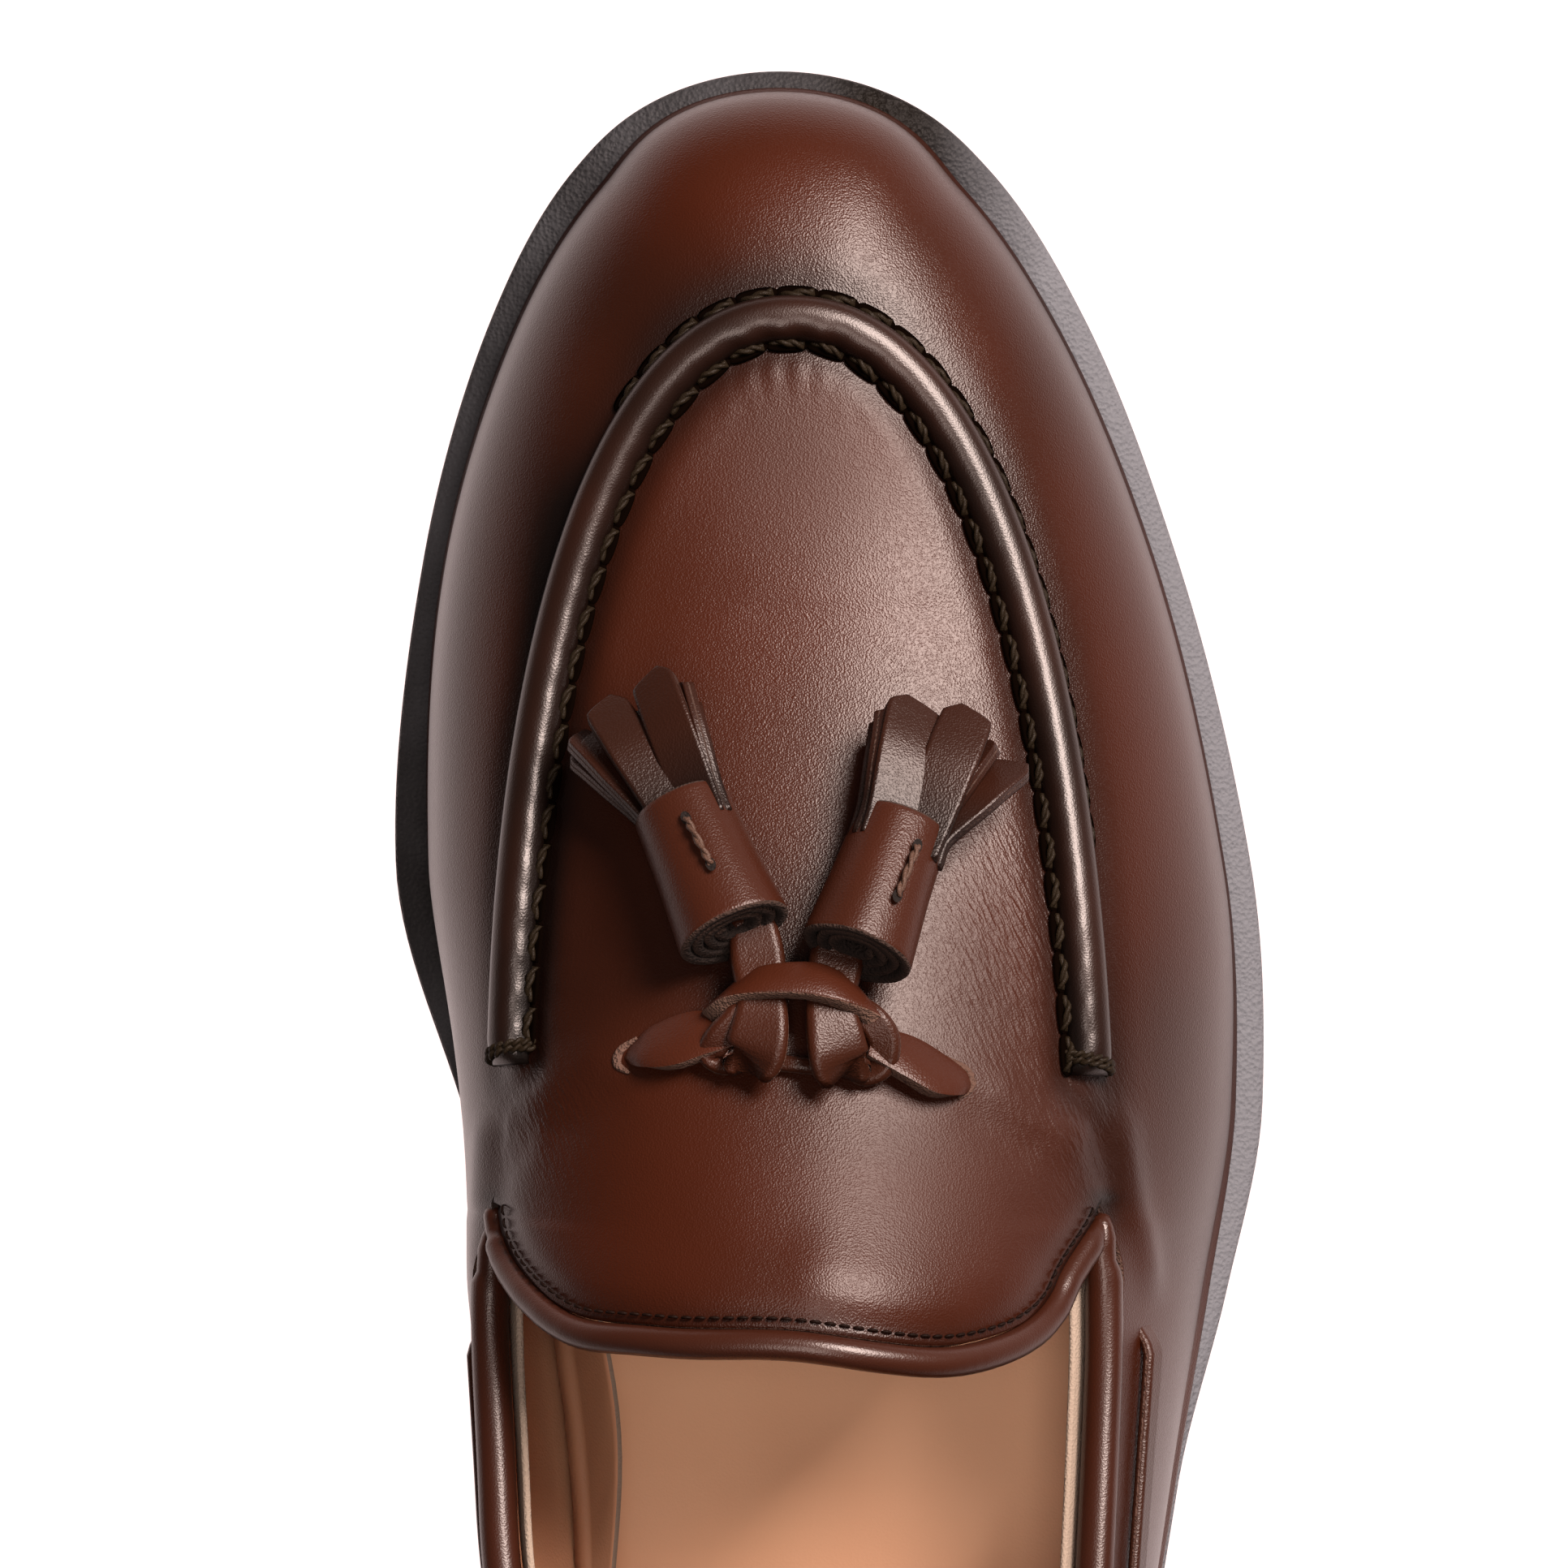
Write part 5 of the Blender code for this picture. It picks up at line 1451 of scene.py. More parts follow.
@dataclass
class Bindings:
    """Rolled edges of tongue and collar, the tongue's fine stitching and the lining's raw edge."""

    skin: Skin
    tongue_radius: float = 1.8 * MM
    collar_radius: float = 2.3 * MM
    stitch_pitch: float = 1.7 * MM
    stitch_inset: float = 1.0 * MM
    least: float = 0.76
    tuck: float = 2.8 * MM
    tucked: Pair = (1.0 * MM, 9.0 * MM)
    collar_start: float = 1.6 * MM
    medial_extra: float = 1.4 * MM

    def build(self) -> None:
        """All the edges."""
        last = self.skin.last
        frames = self.skin.topline()
        rim = [f.point - f.across * (last.wall / 2) for f in frames]
        tongue = self.tongue_frames()
        self.roll("tongue_roll", tongue, self.tongue_radius, rim, last.wall / 2, "tongue_binding")
        walked = np.cumsum([0.0] + [(b - a).length for a, b in zip(rim, rim[1:])])
        ends = np.minimum(walked, walked[-1] - walked - self.medial_extra)
        sinks = self.tuck * (1 - smoothstep(*self.tucked, ends))
        rise = last.gap + self.collar_radius
        collar = [
            Frame(p + f.up * (rise - sink), f.across, f.up)
            for p, f, sink, end in zip(rim, frames, sinks, ends)
            if end > self.collar_start
        ]
        clear = [f.point for f in tongue]
        room = self.tongue_radius * 1.15
        self.roll("collar_roll", collar, self.collar_radius, clear, room, "collar_binding")
        self.lining_edge(frames[4:-4])
        self.tongue_stitches()

    def tongue_frames(self) -> list[Frame]:
        """Centres of the tongue's binding, just past its edge."""
        last = self.skin.last
        places = [last.drop(p.x, p.y) for p in self.skin.tongue_outline(110)]
        reach = last.gap * 0.3 + self.tongue_radius
        frames = []
        for k in range(1, len(places) - 1):
            point, normal = places[k]
            out = normal.cross(places[k - 1][0] - places[k + 1][0]).normalized()
            frames.append(Frame(point - normal * (0.55 * last.wall) + out * reach, out, normal))
        return frames

    def roll(
        self,
        name: str,
        frames: Sequence[Frame],
        radius: float,
        neighbour: Sequence[Vector],
        room: float,
        node: str,
    ) -> None:
        """A round binding, narrowed where its neighbour leaves less space.

        Args:
            name: Name of the piece.
            frames: Places of its centre.
            radius: Its full radius.
            neighbour: Line of the neighbour's centre.
            room: The neighbour's own radius.
            node: The solid that it stands for.
        """
        others = np.array([tuple(p) for p in neighbour])
        radii = []
        for frame in frames:
            space = np.linalg.norm(others - np.array(frame.point), axis=1).min() - room
            radii.append(radius * min(1.0, max(self.least, space / radius)))

        def section(k: int) -> Section:
            """Slightly flattened round, smaller at both ends."""
            end = min(k, len(frames) - 1 - k)
            return circle(radii[k] * min(1.0, 0.55 + 0.25 * end), 16, 0.96)

        made = sweep(name, frames, section, [EDGE])
        attribute(made, "glow", 0.85)
        settle(made, "edge_calf", node)

    def lining_edge(self, frames: Sequence[Frame]) -> None:
        """Raw edge of the lining, just inside the collar's roll."""
        inward, rise = self.skin.last.wall + 2.2 * MM, 2.4 * MM
        places = [Frame(f.point - f.across * inward + f.up * rise, f.across, f.up) for f in frames]
        section = strap_profile(0.9 * MM, 5.0 * MM, 0.08)
        settle(sweep("lining_edge", places, lambda _: section, [LINING_EDGE]), "insole_leather")

    def tongue_stitches(self) -> None:
        """Fine machine stitches beside the tongue's binding."""
        line = []
        for place in self.skin.tongue_outline(60, inset=self.stitch_inset)[1:-1]:
            point, normal = self.skin.last.drop(place.x, place.y)
            line.append(Frame(point - normal * 0.34 * MM, normal, normal))
        source = strand(self.stitch_pitch * 0.8, 0.20 * MM, 0.16 * MM, plies=1)
        made = StitchNodes().lay("tongue_stitches", spaced(line, self.stitch_pitch), source, FINE_THREAD)
        settle(made, "edge_calf")


class StrapForm(NamedTuple):
    """A strap by rows of x, y, height over the leather and width in millimetres, and roll in degrees."""

    name: str
    nodes: tuple[str, ...]
    thickness: float
    rows: tuple[tuple[float, ...], ...]


class SheetForm(NamedTuple):
    """A sheet of lace between a front and a rear edge of x, y and height in millimetres."""

    name: str
    node: str
    thickness: float
    front: tuple[Triple, ...]
    rear: tuple[Triple, ...]


BAR_MEDIAL = SheetForm(
    "bar_medial", "lace_bar_medial", 1.6,
    ((-24.6, 28.2, -0.4), (-23.0, 29.6, 0.7), (-20.9, 31.5, 1.0), (-16.1, 33.2, 1.6), (-11.5, 32.6, 2.0)),
    ((-24.4, 27.2, -0.3), (-22.2, 26.7, 2.1), (-18.6, 27.0, 3.4), (-14.5, 28.4, 3.8), (-10.5, 29.6, 3.8)),
)
BAR_LATERAL = SheetForm(
    "bar_lateral", "lace_bar_lateral", 1.6,
    ((16.8, 24.6, -0.4), (15.6, 26.2, 0.7), (13.0, 28.2, 1.0), (9.6, 30.2, 1.6), (5.0, 31.6, 2.2)),
    ((16.4, 23.8, -0.3), (15.0, 23.4, 2.0), (12.2, 23.8, 3.3), (8.8, 25.6, 3.8), (4.2, 28.2, 3.8)),
)
KEEPER = SheetForm(
    "keeper", "lace_keeper", 2.0,
    (
        (-12.0, 35.9, 0.9), (-11.5, 36.6, 3.4), (-9.75, 38.0, 5.6), (-7.1, 38.9, 6.7),
        (-2.1, 39.1, 6.9), (1.4, 37.8, 6.0), (3.3, 35.9, 3.6), (3.8, 35.0, 0.9),
    ),
    (
        (-15.4, 32.9, 1.0), (-14.9, 33.5, 3.8), (-12.8, 34.9, 6.6), (-9.1, 35.5, 8.4), (-3.6, 35.5, 9.0),
        (1.4, 34.5, 8.6), (5.2, 33.1, 6.6), (7.2, 31.3, 3.6), (7.6, 30.5, 1.0),
    ),
)
LOOPS = (
    StrapForm("loop_medial", ("lace_loop_medial",), 2.0, (
        (-8.4, 32.0, 1.0, 5.6, 0), (-9.2, 29.2, 1.1, 6.6, -6), (-9.2, 27.9, 2.4, 7.4, -10),
        (-8.9, 28.9, 4.4, 7.6, -8), (-8.4, 31.6, 5.4, 6.8, -4), (-8.2, 35.0, 5.6, 5.8, 0),
        (-8.7, 39.6, 5.3, 6.4, 0), (-9.4, 44.4, 6.2, 5.2, 0),
    )),
    StrapForm("loop_lateral", ("lace_loop_lateral",), 2.0, (
        (0.2, 31.4, 1.0, 5.6, 0), (0.9, 28.4, 1.1, 6.6, 6), (1.0, 26.9, 2.4, 7.2, 10),
        (0.8, 28.0, 4.4, 7.4, 8), (0.2, 31.2, 5.4, 6.6, 4), (-0.2, 34.6, 5.6, 5.8, 0),
        (0.5, 39.2, 5.3, 6.4, 0), (1.4, 42.6, 6.2, 5.2, 0),
    )),
    StrapForm("wrap_medial", (), 1.8, (
        (-9.4, 34.2, 4.6, 3.4, -20), (-11.0, 32.4, 4.6, 3.6, -30), (-12.9, 30.2, 3.6, 3.8, -30),
        (-13.9, 28.3, 2.2, 3.6, -20), (-12.4, 27.4, 1.1, 3.4, 0), (-10.4, 28.0, 0.8, 3.2, 0),
    )),
    StrapForm("wrap_lateral", (), 1.8, (
        (2.6, 33.8, 4.4, 3.4, 20), (4.8, 32.0, 4.6, 3.8, 28), (6.0, 29.8, 3.8, 4.0, 28),
        (5.6, 27.2, 2.4, 3.8, 16), (3.8, 26.2, 1.2, 3.6, 0), (2.4, 27.2, 0.8, 3.2, 0),
    )),
)
LINK = StrapForm("link", (), 1.6, (
    (-6.0, 27.2, 1.2, 2.0, 0), (-4.0, 27.0, 1.4, 2.0, 0), (-2.0, 26.8, 1.2, 2.0, 0),
))


@dataclass
class Laces:
    """Quarter lace, knot and keeper, all flat calf with raw cut edges."""

    skin: Skin
    rail_width: float = 4.0 * MM
    rail_thickness: float = 1.4 * MM
    rail_below: float = 7.2 * MM
    rail_start: float = 14.0 * MM
    rail_end: float = 35.0 * MM
    rail_dive: Pair = (2.4 * MM, 5.0 * MM)
    strap_steps: int = 40
    lip_steps: int = 24

    def build(self) -> None:
        """Rails, bars, loops, keeper and the lips of both slits."""
        self.rail(Side.MEDIAL, 0.1 * MM)
        self.rail(Side.LATERAL, 1.0 * MM)
        self.sheet(BAR_MEDIAL)
        self.sheet(BAR_LATERAL)
        for form in LOOPS:
            self.strap(form)
        self.sheet(KEEPER)
        self.strap(LINK)
        self.lip("slit_lip_medial", [(-22.8, 30.0), (-24.7, 28.5), (-25.1, 26.9), (-23.7, 25.9)])
        self.lip("slit_lip_lateral", [(13.0, 27.9), (15.7, 26.2), (16.3, 24.3), (14.8, 22.9)])

    def over(self, x: float, y: float, height: float) -> Vector:
        """Point over the leather, from millimetres."""
        return self.skin.last.over(x * MM, y * MM, height * MM)

    def strap(self, form: StrapForm) -> None:
        """A strap of lace that follows its form's rows."""
        last = self.skin.last
        keys = [
            (*self.over(x, y, height), width * MM, math.radians(roll))
            for x, y, height, width, roll in form.rows
        ]
        rows = rows_through(keys, self.strap_steps)
        spine = [Vector(row[:3]) for row in rows]
        frames: list[Frame] = []
        for k, point in enumerate(spine):
            run = direction(spine, k)
            across = run.cross(last.drop(point.x, point.y)[1])
            if across.length < 0.25:
                across = frames[-1].across if frames else Vector((1, 0, 0))
            across = (across - run * across.dot(run)).normalized()
            if frames and across.dot(frames[-1].across) < 0:
                across = -across
            up = across.cross(run).normalized()
            turn = Matrix.Rotation(rows[k][4], 3, run)
            frames.append(Frame(point, turn @ across, turn @ up))

        def section(k: int) -> Section:
            """Flat section of the row's width."""
            return strap_profile(rows[k][3], form.thickness * MM)

        settle(sweep(form.name, frames, section, [LACE, RAW], strap_slot), "lace_calf", *form.nodes)

    def rail(self, side: Side, out: float) -> None:
        """Lace along the outside of a quarter, off the leather by a distance, its cut edge up."""
        last = self.skin.last
        start = last.from_toe(last.throat_from_toe + self.rail_start)
        end = self.rail_end - last.sole_length / 2
        depth, reach = self.rail_dive
        frames = []
        for turn in self.skin.turns:
            y = last.feather(turn).y
            if not end <= y <= start:
                continue
            place = turn if side is Side.LATERAL else 2 * math.pi - turn
            ray = last.ray(place)
            share = last.collar_share(ray)
            length = (last.on_ray(ray, share) - last.on_ray(ray, share - 0.05)).length
            share -= 0.05 * self.rail_below / length
            normal = last.normal(place, share)
            proud = out - depth * (1 - float(smoothstep(0.0, reach, start - y)))
            frames.append(Frame(last.on_ray(ray, share) + normal * proud, last.upward(ray, share), normal))
        name = "quarter_lace_" + side.name.lower()
        section = strap_profile(self.rail_width, self.rail_thickness)
        settle(sweep(name + "_strap", frames, lambda _: section, [LACE, RAW], strap_slot), "lace_calf", name)

    def sheet(self, form: SheetForm) -> None:
        """A sheet of lace, crowned between its edges; the rear one stands up and shows its cut."""
        edges = [through([self.over(*key) for key in edge], 36) for edge in (form.front, form.rear)]
        rows = []
        for k in range(9):
            v = k / 8
            crown = Vector((0, 0, 0.55 * MM * math.sin(math.pi * v)))
            rows.append([a.lerp(b, v) + crown for a, b in zip(*edges)])
        made = patch(form.name, rows, form.thickness * MM)
        attribute(made, "glow", 0.5)
        settle(made, "lace_calf", form.node)

    def lip(self, name: str, places: Sequence[Pair]) -> None:
        """Raw lip of a slit: the leather's pale cut edge, pushed up by the lace."""
        smooth = through([self.over(x, y, 0.25) for x, y in places], self.lip_steps)
        frames = []
        for k, point in enumerate(smooth):
            run = direction(smooth, k)
            across = run.cross(self.skin.last.drop(point.x, point.y)[1]).normalized()
            frames.append(Frame(point, across, across.cross(run).normalized()))

        def section(k: int) -> Section:
            """Low ridge, thin at both ends."""
            size = 0.35 + 0.65 * math.sin(math.pi * k / (self.lip_steps - 1))
            return strap_profile(1.15 * MM * size, 0.9 * MM * size, 0.45)

        made = sweep(name, frames, section, [RAW])
        attribute(made, "glow", 0.25)
        settle(made, "calf")


class StripForm(NamedTuple):
    """One strip of a fringe, in millimetres across and along its tassel and in degrees."""

    root: float
    root_lift: float
    reach: float
    tip: float
    tip_lift: float
    width: float
    lean: float
    peak: float


@dataclass(frozen=True)
class TasselForm:
    """Place, tie and strips of one tassel, from the photo."""

    side: Side
    rear: Pair
    front: Pair
    tie: tuple[Pair, Pair]
    strips: tuple[tuple[float, ...], ...]


TASSELS = (
    TasselForm(
        Side.MEDIAL,
        (-10.9, 42.4),
        (-17.6, 57.6),
        ((13.4, 0.2), (6.6, -0.3)),
        (
            (3.4, 0.4, 12.0, 5.0, -2.0, 4.6, -52, 0.2), (-3.6, -0.4, 12.8, -8.8, -3.0, 4.6, 26, 0.1),
            (0.4, 1.4, 13.4, -0.6, -0.4, 5.0, 4, 0.3), (-2.6, 0.8, 13.4, -6.6, -1.0, 4.6, 20, -0.2),
            (-3.6, 1.0, 14.2, -8.2, -1.0, 4.4, 30, -0.3), (3.6, 1.4, 13.6, 5.4, 1.0, 4.4, -62, 0.1),
            (-1.7, 2.7, 15.6, -3.9, 1.6, 5.4, 10, -0.25), (1.9, 2.8, 16.0, 2.7, 2.6, 5.4, -12, -0.25),
        ),
    ),
    TasselForm(
        Side.LATERAL,
        (2.4, 40.0),
        (7.8, 54.6),
        ((13.3, -2.7), (6.2, -2.5)),
        (
            (-3.4, 0.2, 12.2, -5.4, -2.2, 4.6, 40, 0.2), (3.8, -0.8, 12.6, 9.2, -3.4, 4.8, -26, 0.1),
            (1.2, 1.4, 13.4, 1.0, -0.4, 5.6, 0, 0.2), (3.4, 1.0, 13.6, 6.8, 0.2, 4.0, -50, -0.1),
            (-3.3, 1.4, 12.6, -5.7, 0.4, 4.2, 52, 0.1), (4.0, 0.4, 13.0, 10.6, -1.0, 5.4, -22, -0.35),
            (-1.2, 2.8, 14.6, -3.3, 2.0, 6.6, 8, 0.2), (2.7, 2.6, 15.9, 3.2, 2.4, 6.2, -8, 0.2),
        ),
    ),
)
CUFF_RINGS = ((0.0, 0.62), (0.015, 0.92), (0.04, 1.0), (0.5, 1.0), (0.95, 1.0), (0.985, 0.92), (1.0, 0.62))
TIE_LIFTS = ((0.0, -0.8), (0.04, 0.1), (0.3, 0.32), (0.7, 0.30), (0.96, 0.1), (1.0, -0.8))


@dataclass
class Tassels:
    """Rolled cuffs with their cut strips."""

    skin: Skin
    radius: float = 6.15 * MM
    wide: float = 1.05
    tall: float = 0.95
    flare: float = 1.05 * MM
    length: float = 18.0 * MM
    leather: float = 1.35 * MM
    play: float = 0.10 * MM
    rear_rise: float = 8.4 * MM
    front_rise: float = 6.8 * MM
    turns: float = 3.3
    roll_steps: int = 150
    first_turn: float = math.radians(290)
    tie_radius: float = 0.52 * MM
    hole_shade: Pair = (0.95, 0.6)
    hole_sides: int = 12
    strip_root: float = 4.5 * MM
    strip_steps: int = 30
    strip_bow: float = 1.0 * MM
    peak_start: float = 0.82
    mouth_shade: float = 7 * MM

    def build(self) -> None:
        """Both tassels."""
        for form in TASSELS:
            frame = self.axis(form)
            self.cuff(form, frame)
            self.tie(form, frame)
            self.fringe(form, frame)

    def axis(self, form: TasselForm) -> Matrix:
        """Frame with its origin at the cuff's rear end, +Z along it and +Y away from the apron."""
        last = self.skin.last
        rear = last.over(form.rear[0] * MM, form.rear[1] * MM, self.rear_rise)
        front = last.over(form.front[0] * MM, form.front[1] * MM, self.front_rise)
        ahead = (front - rear).normalized()
        up = (Vector((0, 0, 1)) - ahead * ahead.z).normalized()
        across = up.cross(ahead).normalized()
        return Matrix.Translation(rear) @ Matrix((across, up, ahead)).transposed().to_4x4()

    def swell(self, share: float) -> float:
        """Radius of the cuff at a share of its length."""
        return self.radius + self.flare * (1 - share) ** 1.5

    def ring(self, side: Side, share: float, full: float) -> list[Vector]:
        """Section at a share of the cuff: its outer face inwards, then its inner face back."""
        points = []
        steps = self.roll_steps
        soft = self.leather * (1 - full) * 0.5
        for outer in (True, False):
            for k in range(steps + 1) if outer else range(steps, -1, -1):
                angle = -side.value * (2 * math.pi * self.turns * k / steps) + self.first_turn
                wobble = self.play * math.sin(5.3 * angle + 2 * share) * min(1.0, k / 40)
                r = self.swell(share) - (self.leather + self.play) * self.turns * k / steps + wobble
                r -= soft if outer else self.leather - soft
                deep = 0.55 * MM * (k / steps) if share < 0.5 else 0.0
                x, y = r * self.wide * math.cos(angle), r * self.tall * math.sin(angle)
                points.append(Vector((x, y, share * self.length + deep)))
        return points

    def cuff(self, form: TasselForm, frame: Matrix) -> None:
        """Cuff: one strip rolled more than three times, its layers showing at the ends."""
        name = form.side.name.lower()
        steps = self.roll_steps
        rings = [self.ring(form.side, share, full) for share, full in CUFF_RINGS]
        size = len(rings[0])
        faces = grid_faces(len(rings), size, closed=True)
        slots = []
        for j in range(len(rings) - 1):
            rim = j in (0, len(rings) - 2)
            slots += [1 if rim or n > steps / self.turns else 0 for n in range(size)]
        for j in (0, len(rings) - 1):
            for n in range(steps):
                a, b = j * size + n, j * size + size - 1 - n
                faces.append((a, a + 1, b - 1, b))
                slots.append(1)
        points = [frame @ point for ring in rings for point in ring]
        made = build_mesh(f"cuff_{name}_roll", points, faces, [LACE, ROLL_END], slots)
        outside = np.arange(len(points)) % size < steps + 1
        # Painted shade on the inner face of every layer and painted light on its outer face, which show as
        # dark and light rings at the roll's ends.
        attribute(made, "burnish", np.where(outside, 0.10, 0.8))
        attribute(made, "glow", np.where(outside, 0.35, 0.0))
        settle(made, "lace_calf", f"tassel_cuff_{name}")

    def tie(self, form: TasselForm, frame: Matrix) -> None:
        """The one long stitch that holds the roll, between two pinholes."""
        name = form.side.name.lower()
        (far, far_x), (near, near_x) = form.tie

        def on_cuff(along: float, across: float, lift: float) -> Vector:
            """Point over the cuff's top, from millimetres."""
            r = self.swell(along * MM / self.length)
            height = self.tall * math.sqrt(max(0.0, r * r - (across * MM / self.wide) ** 2))
            return frame @ Vector((across * MM, height + lift * MM, along * MM))

        path = [on_cuff(far + (near - far) * t, far_x + (near_x - far_x) * t, lift) for t, lift in TIE_LIFTS]
        settle(rope(f"cuff_tie_{name}", path, self.tie_radius, 3.0, TIE), "lace_calf")
        # Dark discs over the pinholes: painted shade inside each hole.
        holes = []
        sides = self.hole_sides
        for along, across in form.tie:
            ring = [on_cuff(along, across, 0.04)]
            for step in range(sides):
                angle = 2 * math.pi * step / sides
                shift, aside = self.hole_shade[0] * math.cos(angle), self.hole_shade[1] * math.sin(angle)
                ring.append(on_cuff(along + shift, across + aside, 0.03))
            faces = [(0, 1 + k, 1 + (k + 1) % sides) for k in range(sides)]
            holes.append(build_mesh(f"hole_{name}_{along}", ring, faces, [ROLL_END]))
        made = joined(f"cuff_holes_{name}", holes)
        attribute(made, "burnish", 1.0)
        settle(made, "lace_calf")

    def strip(self, name: str, form: StripForm, frame: Matrix) -> Piece:
        """One cut strip in the cuff's frame, curled a little and cut to a point."""
        base = Vector((-form.root * MM, form.root_lift * MM, self.length - self.strip_root))
        mouth = Vector((-form.root * MM, form.root_lift * MM, self.length))
        tip = Vector((-form.tip * MM, form.tip_lift * MM, self.length + form.reach * MM))
        bow = Vector((0, self.strip_bow, 0))
        keys = [base, mouth, mouth.lerp(tip, 0.5) + bow, mouth.lerp(tip, 0.85) + bow * 0.5, tip]
        turn = frame.to_3x3()
        frames = []
        smooth = through(keys, self.strip_steps)
        for k, point in enumerate(smooth):
            run = direction(smooth, k)
            across = Matrix.Rotation(math.radians(form.lean), 3, run) @ Vector((1, 0, 0))
            across = (across - run * across.dot(run)).normalized()
            frames.append(Frame(frame @ point, turn @ across, turn @ run.cross(across).normalized()))

        def section(k: int) -> Section:
            """Strip section, cupped, and narrowed to its peak over the tip."""
            s = k / (self.strip_steps - 1)
            near = max(0.0, (s - self.peak_start) / (1 - self.peak_start)) ** 1.25
            left = -0.5 + (0.5 + form.peak) * near * 0.95
            right = 0.5 - (0.5 - form.peak) * near * 0.95
            size = form.width * MM * (0.90 + 0.14 * math.sin(math.pi * s))
            shape = []
            for x, y in strap_profile(1.0, self.leather):
                place = left + (right - left) * (x + 0.5)
                shape.append((place * size, y - 0.035 * size * s * (2 * place) ** 2))
            return shape

        return sweep(name, frames, section, [LACE, RAW], strap_slot)

    def fringe(self, form: TasselForm, frame: Matrix) -> None:
        """Cut strips that fan out of the cuff, with painted shade near its mouth."""
        name = form.side.name.lower()
        strips = [StripForm(*row) for row in form.strips]
        parts = [self.strip(f"strip_{name}_{n}", strip, frame) for n, strip in enumerate(strips)]
        made = joined(f"fringe_{name}", parts)
        back = frame.inverted()
        out = np.array([(back @ vertex.co).z - self.length for vertex in made.data.vertices])
        # A darker tone on all strips, and painted shade fading out over the first millimetres past the
        # cuff's mouth.
        attribute(made, "burnish", 0.42 + 0.5 * np.maximum(0, 1 - np.maximum(0, out) / self.mouth_shade))
        settle(made, "lace_calf", f"tassel_fringe_{name}")


